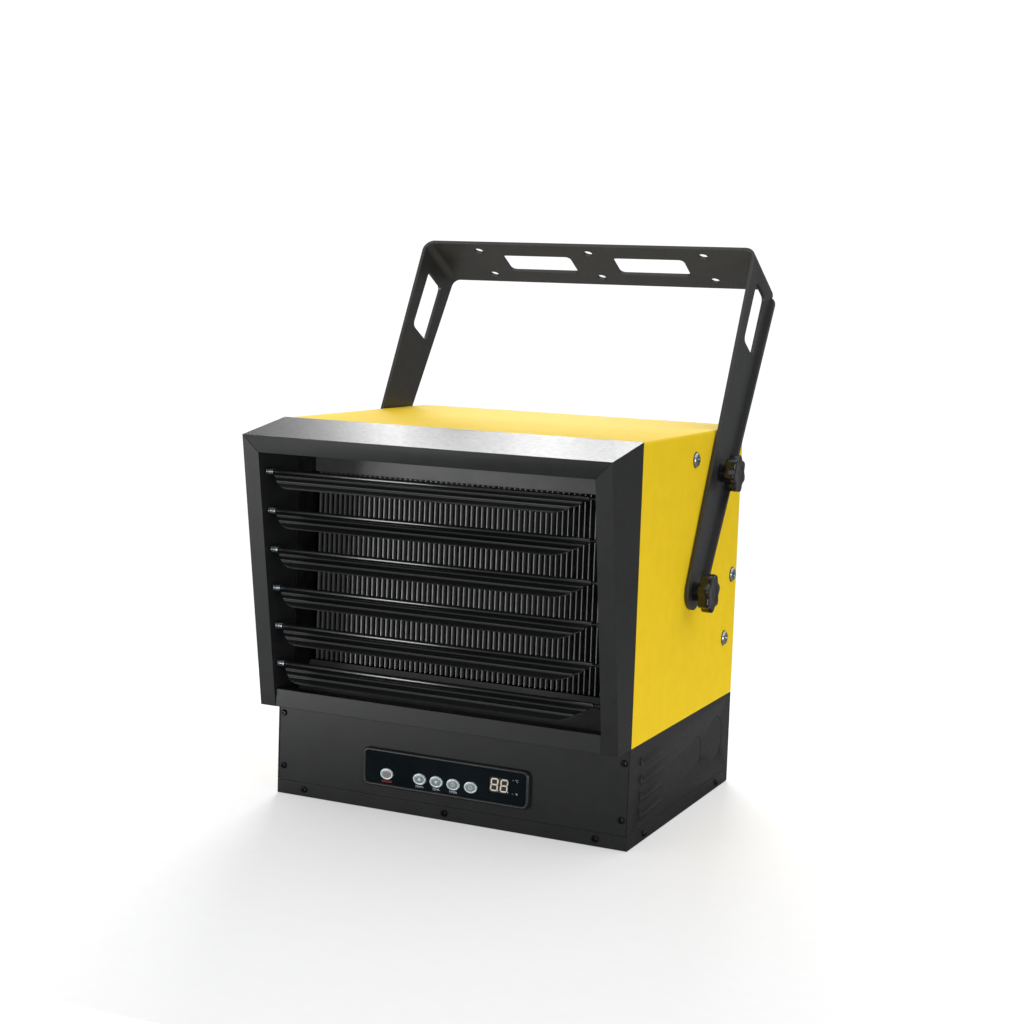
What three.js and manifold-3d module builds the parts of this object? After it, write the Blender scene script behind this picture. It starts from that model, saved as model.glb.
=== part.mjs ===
// Ceiling mounted fan heater. Millimetres: X to the right, Y to the rear, Z up.
// The origin is the middle of the underside of the terminal box.
import * as THREE from 'three';
import { mergeVertices } from 'three/addons/utils/BufferGeometryUtils.js';
import Module from 'manifold-3d';

const wasm = await Module();
wasm.setup();

// ---------------------------------------------------------------- driving sizes

const pieceGap = 0.3; // between pieces that touch
const sheet = 1.2; // steel of the cabinet, hood and terminal box
const cutMargin = 2; // how far a cutting tool runs past what it cuts

// Cabinet and terminal box
const cabinetWidth = 369;
const cabinetDepth = 282;
const cabinetHeight = 275.7;
const cabinetBend = 4;
const boxHeight = 93.5;
const boxFlange = 10;
const trayHeight = 13.4;

// Front hood and sill
const hoodProud = 0.5;
const hoodLift = 0.7;
const hoodTopReach = 73.4;
const hoodFootReach = 31.8;
const hoodTopFall = 12.6;
const hoodFrame = 16.2;
const sillHeight = 17.3;
const sillDepth = 12;

// Air duct, baffles and heater
const ductSheet = 1;
const ductSetback = 0.4;
const ductHeadroom = 19.2;
const ductRearY = 46;
const baffleFlange = 15;
const lowerBaffleRise = 34;
const finSetback = 31;
const finDepth = 36;
const finThickness = 0.8;
const finPitch = 5.5;
const finCount = 60;
const finLift = 35.7;
const finHeadroom = 33.3;
const finEndStrip = 12;
const bandHeight = 22;
const bandCount = 3;
const tubeRadius = 3.25;
const tubeLegSpacing = 14;
const tubeBendInset = 18;
const tubeTerminalLength = 8;
const cutoutRadius = 8;
const cutoutHeight = 7;
const cutoutX = 40;
const cutoutY = -60;

// Fan and motor
const fanRingMargin = 13.5;
const shroudLength = 30;
const fanTipClearance = 5;
const fanHubRadius = 24;
const fanHubLength = 24;
const fanBladeCount = 5;
const fanBladePitch = 30;
const fanBladeThickness = 1.6;
const fanRootHalfWidth = 15;
const fanTipHalfWidth = 31;
const shaftRadius = 4;
const shaftInMotor = 20;
const motorRadius = 42;
const motorLength = 68;
const strapWidth = 28;
const strapThickness = 3;
const guardThickness = 1.5;
const guardBorder = 8;
const guardHubRadius = 22;
const guardRings = 3;
const guardRib = 3;

// Controls
const controlWidth = 175.2;
const controlHeight = 37;
const controlZ = 42;
const controlCorner = 7;
const rimWidth = 3.6;
const rimDepth = 4;
const tubOverlap = 1;
const tubWall = 1.8;
const tubDepth = 11;
const overlayThickness = 1.6;
const buttonWidth = 13.5;
const buttonHeight = 10.8;
const buttonProud = 1.4;
const buttonFlange = 1.2;
const buttonZ = 36.6;
const buttonPlaces = { power: -61.4, up: -26.2, down: -8.5, timer: 9.3, mode: 27.6 };
const displayX = 55.8;
const displayZ = 42.4;
const displayWidth = 20.7;
const displayHeight = 15.1;
const displayBorder = 1.8;
const displayDepth = 5;
const indicatorX = 70.6;
const indicatorZs = [36.5, 49.3];
const indicatorRadius = 1.1;
const boardThickness = 1.6;

// Terminal box: vents, knockouts and what is wired inside
const ventLength = 60.7;
const ventHalfHeight = 4.5;
const ventRise = 3;
const ventNose = 4;
const ventFrontY = -115;
const ventTopZ = 76.8;
const ventPitch = 15.7;
const ventCount = 4;
const knockoutDepth = 0.6;
const smallKnockout = { radius: 14.3, y: 39.3, z: 53.9 };
const largeKnockout = { radius: 22, y: 95.6, z: 55.3 };
const blockLength = 80;
const blockWidth = 34;
const blockHeight = 24;
const blockSlot = 7;
const blockX = 130;
const blockY = 40;
const contactorWidth = 50;
const contactorDepth = 62;
const contactorHeight = 48;
const contactorX = -20;
const contactorY = 40;

// Mounting bracket
const bracketThickness = 3.5;
const bracketClearance = 1.2;
const bracketReach = 359.3;
const bracketBend = 12;
const bracketTopHalfWidth = 39;
const bracketEndHalfWidth = 18;
const bracketLean = 29.8;
const bracketSwing = 8;
const pivotZ = 218.3;
const lockMargin = 15;
const plateHoleRadius = 5.1;
const plateHoleSpacing = 128.5;
const plateHoleRowOffset = 24.1;
const plateSlotInner = 24.2;
const plateSlotOuter = 104.4;
const plateSlotHalfWidth = 16.3;
const armSlotHalfWidth = 17.5;
const armSlotLow = 265;
const armSlotHigh = 333;
const slotCorner = 5.5;
const lipReach = 5;
const lipLow = 22;
const lipHigh = 344;

// Knobs, nuts and side screws
const studRadius = 4;
const studSides = 12;
const knobRadius = 19;
const knobDip = 3.4;
const knobLobes = 7;
const knobThickness = 11;
const knobHubRadius = 9;
const knobHubLength = 8;
const nutAcrossFlats = 14;
const nutThickness = 7;
const studPastNut = 1.5;
const sideScrewRadius = 7;
const sideScrewHeight = 2.6;
const sideScrewShank = 2.5;
const sideScrewLength = 8;
const sideScrewRecess = 1.2;
const sideScrewAngles = [0, 90, 120];

// Louvers and their springs
const louverCount = 6;
const louverTopDrop = 34.4;
const louverSillRoom = 25;
const louverSetback = 11.7;
const louverRowLean = 8.148;
const louverTilt = 26.5;
const louverReach = 26.5;
const louverEndGap = 9.8;
const louverSheet = 1.1;
const louverTubeRadius = 2.4;
const louverTipTaper = 29;
const louverTipPower = 0.85;
const louverTipSteps = 5;
const louverRibPlaces = [7.8, 16.8];
const louverRibRadius = 1.1;
const pinRadius = 1.5;
const pinPastWall = 1.5;
const springWire = 1;
const springRadius = 3;
const springCurls = 4.5;
const springSteps = 8;
const springSides = 5;

// ---------------------------------------------------------------- places worked out from them

const frontY = -cabinetDepth / 2;
const rearY = cabinetDepth / 2;
const sideX = cabinetWidth / 2;
const innerX = sideX - sheet;
const wrapBottom = boxHeight + pieceGap;
const wrapTop = wrapBottom + cabinetHeight;
const deckTop = wrapBottom + sheet;

const hoodHalf = sideX + hoodProud;
const hoodTop = wrapTop + hoodProud;
const hoodBottom = boxHeight + hoodLift;
const hoodBack = frontY - pieceGap;
const hoodFront = [frontY - hoodTopReach, hoodTop - hoodTopFall];
const hoodFoot = [frontY - hoodFootReach, hoodBottom];
const faceLean = Math.atan2(hoodTopReach - hoodFootReach, hoodFront[1] - hoodFoot[1]);
const openHalf = hoodHalf - hoodFrame;
const openTop = hoodFront[1] - hoodFrame * Math.cos(faceLean);

const ductHalf = openHalf - ductSetback;
const ductOuter = ductHalf + ductSheet;
const ductBottom = deckTop + pieceGap;
const ductTop = wrapTop - ductHeadroom;
const ductFloor = ductBottom + ductSheet;
const ductCeiling = ductTop - ductSheet;
const ductFrontY = frontY + pieceGap;
const fanZ = (ductFloor + ductCeiling) / 2;
const fanOpeningRadius = (ductCeiling - ductFloor) / 2 - fanRingMargin;
const fanRadius = fanOpeningRadius - fanTipClearance;

const finFrontY = frontY + finSetback;
const finBackY = finFrontY + finDepth;
const finBottom = deckTop + finLift;
const finTop = ductCeiling - finHeadroom;
const finHeight = finTop - finBottom;
const tubeY = finBackY + sheet + pieceGap + tubeRadius;
const bandPitch = (finHeight - bandHeight) / (bandCount - 1);
const bandZ = (band) => finBottom + bandHeight / 2 + band * bandPitch;

const shroudFrontY = ductRearY - shroudLength;
const fanY = (shroudFrontY + ductRearY) / 2;
const guardFrontY = rearY - guardThickness;
const rearPanelBack = guardFrontY - pieceGap;
const rearPanelFront = rearPanelBack - sheet;
const strapFrontY = rearPanelFront - pieceGap - strapThickness;
const motorRearY = strapFrontY - pieceGap;
const motorFrontY = motorRearY - motorLength;

const bracketInner = sideX + bracketClearance;
const bracketOuter = bracketInner + bracketThickness;
const leanAngle = THREE.MathUtils.degToRad(bracketLean);
const lockRadius = rearY - lockMargin;
const studEnd = innerX - pieceGap - nutThickness - studPastNut;

const louverRun = hoodFront[1] - louverTopDrop - hoodBottom - sillHeight - louverSillRoom;
const louverPitch = louverRun / (louverCount - 1);
const louverStepBack = louverPitch * Math.tan(THREE.MathUtils.degToRad(louverRowLean));
const louverAxisZ = (row) => hoodFront[1] - louverTopDrop - row * louverPitch;
const faceY = (z) => hoodFront[0] + (hoodFront[1] - z) * Math.tan(faceLean);
const louverAxisY = (row) => faceY(louverAxisZ(0)) + louverSetback + row * louverStepBack;
const louverHalf = openHalf - louverEndGap;

// ---------------------------------------------------------------- shapes and solids

/** Closed outline from points. */
function outline(points) {
  return new THREE.Shape(points.map(([u, v]) => new THREE.Vector2(u, v)));
}

/** Rectangle with round corners, centred at (cu, cv). */
function roundedRect(width, height, radius, cu = 0, cv = 0) {
  const u = width / 2 - radius;
  const v = height / 2 - radius;
  const shape = new THREE.Shape();
  shape.absarc(cu + u, cv + v, radius, 0, Math.PI / 2);
  shape.absarc(cu - u, cv + v, radius, Math.PI / 2, Math.PI);
  shape.absarc(cu - u, cv - v, radius, Math.PI, Math.PI * 1.5);
  shape.absarc(cu + u, cv - v, radius, Math.PI * 1.5, Math.PI * 2);
  return shape;
}

/** Circle drawn as four quarters, added to a shape or as its hole. */
function circle(radius, cu = 0, cv = 0) {
  const path = new THREE.Shape();
  for (let quarter = 0; quarter < 4; quarter += 1) {
    path.absarc(cu, cv, radius, (quarter * Math.PI) / 2, ((quarter + 1) * Math.PI) / 2);
  }
  return path;
}

/** Outline of a bent sheet: its thickness lies to the left of the path. */
function bentSheet(path, thickness) {
  const normals = path.slice(1).map(([u, v], k) => {
    const along = new THREE.Vector2(u - path[k][0], v - path[k][1]).normalize();
    return new THREE.Vector2(-along.y, along.x);
  });
  const inner = path.map(([u, v], k) => {
    const before = normals[Math.max(k - 1, 0)];
    const after = normals[Math.min(k, normals.length - 1)];
    const mitre = before.clone().add(after).normalize();
    const reach = thickness / mitre.dot(before);
    return [u + mitre.x * reach, v + mitre.y * reach];
  });
  return outline([...path, ...inner.reverse()]);
}

/** Shape drawn in (y, z), carried along X. */
function prismX(shape, x0, x1, curveSegments = 2) {
  const geometry = new THREE.ExtrudeGeometry(shape, { depth: x1 - x0, bevelEnabled: false, curveSegments });
  const turn = new THREE.Matrix4().makeBasis(
    new THREE.Vector3(0, 1, 0),
    new THREE.Vector3(0, 0, 1),
    new THREE.Vector3(1, 0, 0),
  );
  return geometry.applyMatrix4(turn).translate(x0, 0, 0);
}

/** Shape drawn in (x, z), carried along Y. */
function prismY(shape, y0, y1, curveSegments = 2) {
  const geometry = new THREE.ExtrudeGeometry(shape, { depth: y1 - y0, bevelEnabled: false, curveSegments });
  return geometry.rotateX(Math.PI / 2).translate(0, y1, 0);
}

/** Shape drawn in (x, y), carried along Z. */
function prismZ(shape, z0, z1, curveSegments = 2) {
  const geometry = new THREE.ExtrudeGeometry(shape, { depth: z1 - z0, bevelEnabled: false, curveSegments });
  return geometry.translate(0, 0, z0);
}

/** Box between two corners. */
function block(x0, x1, y0, y1, z0, z1) {
  const geometry = new THREE.BoxGeometry(x1 - x0, y1 - y0, z1 - z0);
  return geometry.translate((x0 + x1) / 2, (y0 + y1) / 2, (z0 + z1) / 2);
}

/** Round rod along X through (y, z). */
function rodX(radius, x0, x1, y, z, sides = 8) {
  const geometry = new THREE.CylinderGeometry(radius, radius, x1 - x0, sides);
  return geometry.rotateZ(Math.PI / 2).translate((x0 + x1) / 2, y, z);
}

/** Round rod along Y through (x, z). */
function rodY(radius, y0, y1, x, z, sides = 12) {
  const geometry = new THREE.CylinderGeometry(radius, radius, y1 - y0, sides);
  return geometry.translate(x, (y0 + y1) / 2, z);
}

/** Round rod along Z through (x, y). */
function rodZ(radius, z0, z1, x, y, sides = 12) {
  const geometry = new THREE.CylinderGeometry(radius, radius, z1 - z0, sides);
  return geometry.rotateX(Math.PI / 2).translate(x, y, (z0 + z1) / 2);
}

/** Closed mesh as a solid that can be joined and cut. */
function toSolid(geometry) {
  const bare = geometry.clone();
  bare.deleteAttribute('normal');
  bare.deleteAttribute('uv');
  const merged = mergeVertices(bare, 1e-4);
  return new wasm.Manifold(new wasm.Mesh({
    numProp: 3,
    vertProperties: new Float32Array(merged.attributes.position.array),
    triVerts: new Uint32Array(merged.index.array),
  }));
}

/** Solid back as a mesh geometry. */
function toGeometry(solid) {
  const mesh = solid.getMesh();
  const geometry = new THREE.BufferGeometry();
  geometry.setAttribute('position', new THREE.BufferAttribute(new Float32Array(mesh.vertProperties), 3));
  geometry.setIndex(new THREE.BufferAttribute(new Uint32Array(mesh.triVerts), 1));
  return geometry;
}

/** All the given geometries joined. */
function join(...geometries) {
  return toGeometry(geometries.map(toSolid).reduce((whole, piece) => whole.add(piece)));
}

/** The first geometry with the others cut out of it. */
function cut(base, ...tools) {
  return toGeometry(tools.reduce((rest, tool) => rest.subtract(toSolid(tool)), toSolid(base)));
}

/** What two geometries share. */
function common(first, second) {
  return toGeometry(toSolid(first).intersect(toSolid(second)));
}

/** What a maker gives for the right side (1) and for the left side (-1). */
function bothSides(make) {
  return [1, -1].map(make);
}

// ---------------------------------------------------------------- finishes

/** Material with the colour and sheen of one real surface. */
function finish(color, roughness, metalness) {
  return () => new THREE.MeshStandardMaterial({ color, roughness, metalness });
}

const yellowPaint = finish('#f0b400', 0.45, 0);
const blackPaint = finish('#1c1c1e', 0.5, 0);
const greySteel = finish('#8c8f91', 0.4, 0.9);
const darkSteel = finish('#55585a', 0.5, 0.8);
const zinc = finish('#c9ccd0', 0.3, 1);
const blackPlastic = finish('#141415', 0.6, 0);
const glossBlack = finish('#0a0b0d', 0.12, 0);
const silverPlastic = finish('#b9bcc0', 0.35, 0.3);
const boardGreen = finish('#1f5a3a', 0.5, 0);

const heater = new THREE.Group();

/** Add one named piece. */
function add(name, geometry, material, parent = heater) {
  const mesh = new THREE.Mesh(geometry, material());
  mesh.name = name;
  parent.add(mesh);
  return mesh;
}

// ---------------------------------------------------------------- cabinet

/** Arc slot in a cabinet side for the lock stud, round the pivot. */
function lockSlot(x0, x1) {
  const halfWidth = studRadius + 2 * pieceGap;
  const spread = THREE.MathUtils.degToRad(bracketSwing) + halfWidth / lockRadius;
  const middle = Math.PI / 2 - leanAngle;
  const shape = new THREE.Shape();
  shape.absarc(0, 0, lockRadius + halfWidth, middle - spread, middle + spread, false);
  shape.absarc(0, 0, lockRadius - halfWidth, middle + spread, middle - spread, true);
  return prismX(shape, x0, x1, 3).translate(0, 0, pivotZ);
}

/** Place on the cabinet side at the lock radius, an angle from upright. */
function onLockCircle(degrees) {
  const angle = THREE.MathUtils.degToRad(degrees);
  return [lockRadius * Math.sin(angle), pivotZ + lockRadius * Math.cos(angle)];
}

/** Yellow sheet folded over the top and both sides. */
function cabinetWrap() {
  const shape = new THREE.Shape();
  const innerBend = cabinetBend - sheet;
  shape.moveTo(-sideX, wrapBottom);
  shape.lineTo(-innerX, wrapBottom);
  shape.absarc(-innerX + innerBend, wrapTop - cabinetBend, innerBend, Math.PI, Math.PI / 2, true);
  shape.absarc(innerX - innerBend, wrapTop - cabinetBend, innerBend, Math.PI / 2, 0, true);
  shape.lineTo(innerX, wrapBottom);
  shape.lineTo(sideX, wrapBottom);
  shape.absarc(sideX - cabinetBend, wrapTop - cabinetBend, cabinetBend, 0, Math.PI / 2);
  shape.absarc(-sideX + cabinetBend, wrapTop - cabinetBend, cabinetBend, Math.PI / 2, Math.PI);
  const past = sideX + cutMargin;
  const screwHoles = sideScrewAngles.map((degrees) => {
    const [y, z] = onLockCircle(degrees);
    return rodX(sideScrewShank + pieceGap, -past, past, y, z);
  });
  return cut(
    prismY(shape, frontY, rearY),
    rodX(studRadius + pieceGap, -past, past, 0, pivotZ, studSides),
    lockSlot(-past, past),
    ...screwHoles,
  );
}

/** Rear panel with the round fan opening. */
function rearPanel() {
  const x = innerX - pieceGap;
  const low = deckTop + pieceGap;
  const corner = cabinetBend - sheet;
  const high = wrapTop - sheet - pieceGap;
  const shape = new THREE.Shape();
  shape.moveTo(-x, low);
  shape.lineTo(x, low);
  shape.absarc(x - corner, high - corner, corner, 0, Math.PI / 2);
  shape.absarc(-x + corner, high - corner, corner, Math.PI / 2, Math.PI);
  const past = rearPanelBack + cutMargin;
  return cut(
    prismY(shape, rearPanelFront, rearPanelBack),
    rodY(fanOpeningRadius, rearPanelFront - cutMargin, past, 0, fanZ, 32),
  );
}

/** Stamped guard: rings and four spokes round a solid middle. */
function fanGuard() {
  const shape = circle(fanOpeningRadius + guardBorder, 0, fanZ);
  const ringPitch = (fanOpeningRadius - guardHubRadius) / guardRings;
  for (let ring = 0; ring < guardRings; ring += 1) {
    const inside = guardHubRadius + ring * ringPitch;
    const outside = inside + ringPitch - guardRib;
    const spoke = guardRib / inside;
    for (let quarter = 0; quarter < 4; quarter += 1) {
      const start = (quarter * Math.PI) / 2 + spoke;
      const end = ((quarter + 1) * Math.PI) / 2 - spoke;
      const slot = new THREE.Path();
      slot.absarc(0, fanZ, outside, start, end, false);
      slot.absarc(0, fanZ, inside, end, start, true);
      shape.holes.push(slot);
    }
  }
  return prismY(shape, guardFrontY, rearY, 3);
}

/** Plate between the air duct and the terminal box. */
function midDeck() {
  const x = innerX - pieceGap;
  return block(-x, x, frontY + pieceGap, rearPanelFront - pieceGap, wrapBottom, deckTop);
}

// ---------------------------------------------------------------- hood and sill

/** Black hood: sloping top, side cheeks, and a front frame turned in round the opening. */
function frontHood() {
  const faceInset = sheet / Math.cos(faceLean);
  const past = hoodBack + cutMargin;
  const sideView = outline([[hoodBack, hoodBottom], hoodFoot, hoodFront, [hoodBack, hoodTop]]);
  const outer = prismX(sideView, -hoodHalf, hoodHalf);
  const hollowShape = outline([
    [past, hoodBottom + sheet],
    [hoodFoot[0] + faceInset, hoodBottom + sheet],
    [hoodFront[0] + faceInset, hoodFront[1] - sheet],
    [hoodBack, hoodTop - sheet],
    [past, hoodTop - sheet],
  ]);
  const hollow = prismX(hollowShape, -hoodHalf + sheet, hoodHalf - sheet);
  const far = hoodFront[0] - cutMargin;
  const returns = openHalf + sheet;
  const kept = block(-returns, returns, far, past + cutMargin, hoodBottom - cutMargin, openTop + sheet);
  const opening = block(-openHalf, openHalf, far, past, hoodBottom - cutMargin, openTop);
  const pinHoles = [];
  for (let row = 0; row < louverCount; row += 1) {
    pinHoles.push(...bothSides((side) => {
      const near = side * (openHalf - pieceGap);
      const end = side * (openHalf + sheet + pieceGap);
      const radius = pinRadius + pieceGap;
      return rodX(radius, Math.min(near, end), Math.max(near, end), louverAxisY(row), louverAxisZ(row));
    }));
  }
  return cut(outer, cut(hollow, kept), opening, ...pinHoles);
}

/** Folded sill between the legs of the hood. */
function lowerSill() {
  const ledge = hoodFoot[0] + sillDepth;
  const shape = bentSheet([
    [hoodBack, hoodBottom],
    [ledge - sheet, hoodBottom],
    [ledge - sheet, hoodBottom + sillHeight - sheet],
    [hoodFoot[0] + sheet, hoodBottom + sillHeight - sheet],
    [hoodFoot[0] + sheet, hoodBottom],
  ].reverse(), sheet);
  const x = openHalf - pieceGap;
  return prismX(shape, -x, x);
}

// ---------------------------------------------------------------- air duct and heater

/** Rectangular duct from the hood to the fan, with holes for the heating tube ends. */
function airDuct() {
  const shape = outline([
    [-ductOuter, ductBottom], [ductOuter, ductBottom], [ductOuter, ductTop], [-ductOuter, ductTop],
  ]);
  shape.holes.push(outline([
    [-ductHalf, ductFloor], [ductHalf, ductFloor], [ductHalf, ductCeiling], [-ductHalf, ductCeiling],
  ]));
  const holes = [];
  for (let band = 0; band < bandCount; band += 1) {
    [-1, 1].forEach((leg) => {
      const z = bandZ(band) + (leg * tubeLegSpacing) / 2;
      holes.push(rodX(tubeRadius + 2 * pieceGap, ductHalf - cutMargin, ductOuter + cutMargin, tubeY, z));
    });
  }
  return cut(prismY(shape, ductFrontY, ductRearY), ...holes);
}

/** Grey plate over the fins, flanged to the duct's ceiling. */
function topBaffle() {
  const x = ductHalf - pieceGap;
  const top = ductCeiling - pieceGap;
  const shape = bentSheet([
    [finFrontY, finTop + pieceGap],
    [finFrontY, top],
    [finFrontY + baffleFlange, top],
  ].reverse(), sheet);
  return prismX(shape, -x, x);
}

/** Plate that slopes up from the duct's mouth to the fins. */
function lowerBaffle() {
  const low = ductFloor + pieceGap;
  const x = ductHalf - pieceGap;
  const shape = bentSheet([
    [ductFrontY, low],
    [finFrontY, Math.min(low + lowerBaffleRise, finBottom) - pieceGap - sheet],
  ], sheet);
  return prismX(shape, -x, x);
}

/** Upright fins joined by bands at the back, with open windows between the bands. */
function finBlock() {
  const half = ((finCount - 1) * finPitch) / 2;
  const end = ductHalf - pieceGap;
  const back = finBackY + sheet;
  const points = [[-end, finBackY]];
  for (let fin = 0; fin < finCount; fin += 1) {
    const left = -half + fin * finPitch - finThickness / 2;
    const right = left + finThickness;
    points.push([left, finBackY], [left, finFrontY], [right, finFrontY], [right, finBackY]);
  }
  points.push([end, finBackY], [end, back], [-end, back]);
  const windows = [];
  for (let band = 0; band < bandCount - 1; band += 1) {
    const low = bandZ(band) + bandHeight / 2;
    const high = bandZ(band + 1) - bandHeight / 2;
    const x = end - finEndStrip;
    windows.push(block(-x, x, finBackY, back + cutMargin, low, high));
  }
  return cut(prismZ(outline(points), finBottom, finTop), ...windows);
}

/** Hairpin heating tube that lies behind one band of the fins. */
function heatingTube(band) {
  const radius = tubeLegSpacing / 2;
  const turnX = -ductHalf + tubeBendInset;
  const endX = ductOuter + tubeTerminalLength;
  class HalfTurn extends THREE.Curve {
    getPoint(t, target = new THREE.Vector3()) {
      const angle = Math.PI * (0.5 + t);
      return target.set(turnX + radius * Math.cos(angle), tubeY, bandZ(band) + radius * Math.sin(angle));
    }
  }
  const sweep = { steps: 6, curveSegments: 1, extrudePath: new HalfTurn() };
  const bend = new THREE.ExtrudeGeometry(circle(tubeRadius), sweep);
  const legs = bothSides((leg) => {
    const z = bandZ(band) + leg * radius;
    return rodX(tubeRadius, turnX - pieceGap, endX, tubeY, z);
  });
  return join(bend, ...legs);
}

/** Round thermal cut-out on the duct's roof. */
function thermalCutout() {
  const low = ductTop + pieceGap;
  return rodZ(cutoutRadius, low, low + cutoutHeight, cutoutX, cutoutY, 16);
}

// ---------------------------------------------------------------- fan and motor

/** Plate at the rear of the duct with the ring round the fan. */
function fanShroud() {
  const x = ductHalf - pieceGap;
  const plateShape = outline([
    [-x, ductFloor + pieceGap], [x, ductFloor + pieceGap],
    [x, ductCeiling - pieceGap], [-x, ductCeiling - pieceGap],
  ]);
  const ringShape = circle(fanOpeningRadius + sheet, 0, fanZ);
  const past = ductRearY + cutMargin;
  return cut(
    join(prismY(plateShape, ductRearY - sheet, ductRearY), prismY(ringShape, shroudFrontY, ductRearY, 4)),
    rodY(fanOpeningRadius, shroudFrontY - cutMargin, past, 0, fanZ, 32),
  );
}

/** Fan: pitched blades round a bored hub. */
function fanBlade() {
  const bladeShape = new THREE.Shape();
  const tipAngle = Math.asin(fanTipHalfWidth / fanRadius);
  bladeShape.moveTo(fanHubRadius / 2, -fanRootHalfWidth);
  bladeShape.absarc(0, 0, fanRadius, -tipAngle, tipAngle, false);
  bladeShape.lineTo(fanHubRadius / 2, fanRootHalfWidth);
  const pieces = [rodY(fanHubRadius, -fanHubLength / 2, fanHubLength / 2, 0, 0, 24)];
  for (let blade = 0; blade < fanBladeCount; blade += 1) {
    const flat = prismY(bladeShape, -fanBladeThickness / 2, fanBladeThickness / 2, 3);
    flat.rotateX(THREE.MathUtils.degToRad(fanBladePitch));
    pieces.push(flat.rotateY((blade * Math.PI * 2) / fanBladeCount));
  }
  const bore = rodY(shaftRadius + pieceGap, -fanHubLength, fanHubLength, 0, 0, 12);
  return cut(join(...pieces), bore).translate(0, fanY, fanZ);
}

/** Motor can with its front boss, bored for the shaft. */
function motorCan() {
  const boss = 3 * shaftRadius;
  const bore = shaftRadius + pieceGap;
  const deep = motorFrontY + shaftInMotor + pieceGap;
  const noseY = motorFrontY - 2 * sheet;
  const can = join(
    rodY(motorRadius, motorFrontY, motorRearY, 0, fanZ, 28),
    rodY(boss, noseY, motorFrontY + sheet, 0, fanZ, 16),
  );
  return cut(can, rodY(bore, noseY - cutMargin, deep, 0, fanZ, 12));
}

/** Strap that carries the motor across the rear panel. */
function motorMount() {
  const half = strapWidth / 2;
  const top = wrapTop - sheet - pieceGap;
  return block(-half, half, strapFrontY, strapFrontY + strapThickness, deckTop + pieceGap, top);
}

// ---------------------------------------------------------------- terminal box

/** Pressed vent: a ridge with a steep nose at the front that fades to the rear. */
function ventRidge(side, z, inset) {
  const wall = side * (sideX - inset);
  const crest = side * (sideX - inset + ventRise);
  const half = ventHalfHeight;
  const front = ventFrontY;
  const rear = front + ventLength;
  const base = side * (sideX - inset - sheet);
  const corners = [
    [base, front, z - half], [base, front, z + half], [wall, front, z - half],
    [wall, front, z + half], [crest, front + ventNose, z], [base, rear, z - half],
    [base, rear, z + half], [wall, rear, z - half], [wall, rear, z + half],
  ];
  const faces = [
    [0, 2, 3], [0, 3, 1], [2, 4, 3], [5, 6, 8], [5, 8, 7], [0, 1, 6], [0, 6, 5],
    [0, 5, 7], [0, 7, 2], [1, 3, 8], [1, 8, 6], [2, 7, 4], [4, 7, 8], [4, 8, 3],
  ];
  const geometry = new THREE.BufferGeometry();
  geometry.setAttribute('position', new THREE.Float32BufferAttribute(corners.flat(), 3));
  const turned = side > 0 ? faces : faces.map(([a, b, c]) => [a, c, b]);
  geometry.setIndex(turned.flat());
  return geometry;
}

/** Shallow round recess of a knockout in the right side. */
function knockoutRecess({ radius, y, z }) {
  return prismX(circle(radius, y, z), sideX - knockoutDepth, sideX + cutMargin);
}

/** Shell of the terminal box: both sides and the rear, flanged in at the top. */
function boxWrap() {
  const low = trayHeight + pieceGap;
  const front = frontY;
  const inside = block(
    -innerX, innerX, front - cutMargin, rearY - sheet, low - cutMargin, boxHeight - sheet,
  );
  const lid = block(
    -innerX + boxFlange, innerX - boxFlange, front - cutMargin, rearY - sheet - boxFlange,
    boxHeight - 2 * sheet, boxHeight + cutMargin,
  );
  const flangeStart = frontY + sheet + boxFlange + pieceGap;
  const panelRoom = block(
    -innerX, innerX, front - cutMargin, flangeStart, low - cutMargin, boxHeight + cutMargin,
  );
  const rearWall = block(-sideX, sideX, rearY - sheet, rearY, 0, boxHeight - sheet);
  const body = cut(block(-sideX, sideX, front, rearY, low, boxHeight), inside, lid, panelRoom);
  let shell = join(body, rearWall);
  for (let row = 0; row < ventCount; row += 1) {
    const z = ventTopZ - row * ventPitch;
    [1, -1].forEach((side) => {
      shell = cut(join(shell, ventRidge(side, z, 0)), ventRidge(side, z, sheet));
    });
  }
  return cut(shell, knockoutRecess(smallKnockout), knockoutRecess(largeKnockout));
}

/** Front panel of the terminal box, with the opening for the controls. */
function boxFrontPanel() {
  const x = innerX - pieceGap;
  const low = trayHeight + pieceGap;
  const shape = bentSheet([
    [frontY + sheet, low],
    [frontY + sheet, boxHeight - sheet],
    [frontY + sheet + boxFlange, boxHeight - sheet],
  ], sheet);
  const room = 2 * pieceGap;
  const opening = roundedRect(tubWidth + room, tubHeight + room, tubCorner + pieceGap, 0, controlZ);
  return cut(prismX(shape, -x, x), prismY(opening, frontY - cutMargin, frontY + sheet + cutMargin));
}

/** Bottom tray with an upturned flange at the front and the sides; it meets the shell's rear wall. */
function boxTray() {
  const rear = rearY - sheet - pieceGap;
  const inside = block(-innerX, innerX, frontY + sheet, rear + cutMargin, sheet, trayHeight + cutMargin);
  return cut(block(-sideX, sideX, frontY, rear, 0, trayHeight), inside);
}

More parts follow.
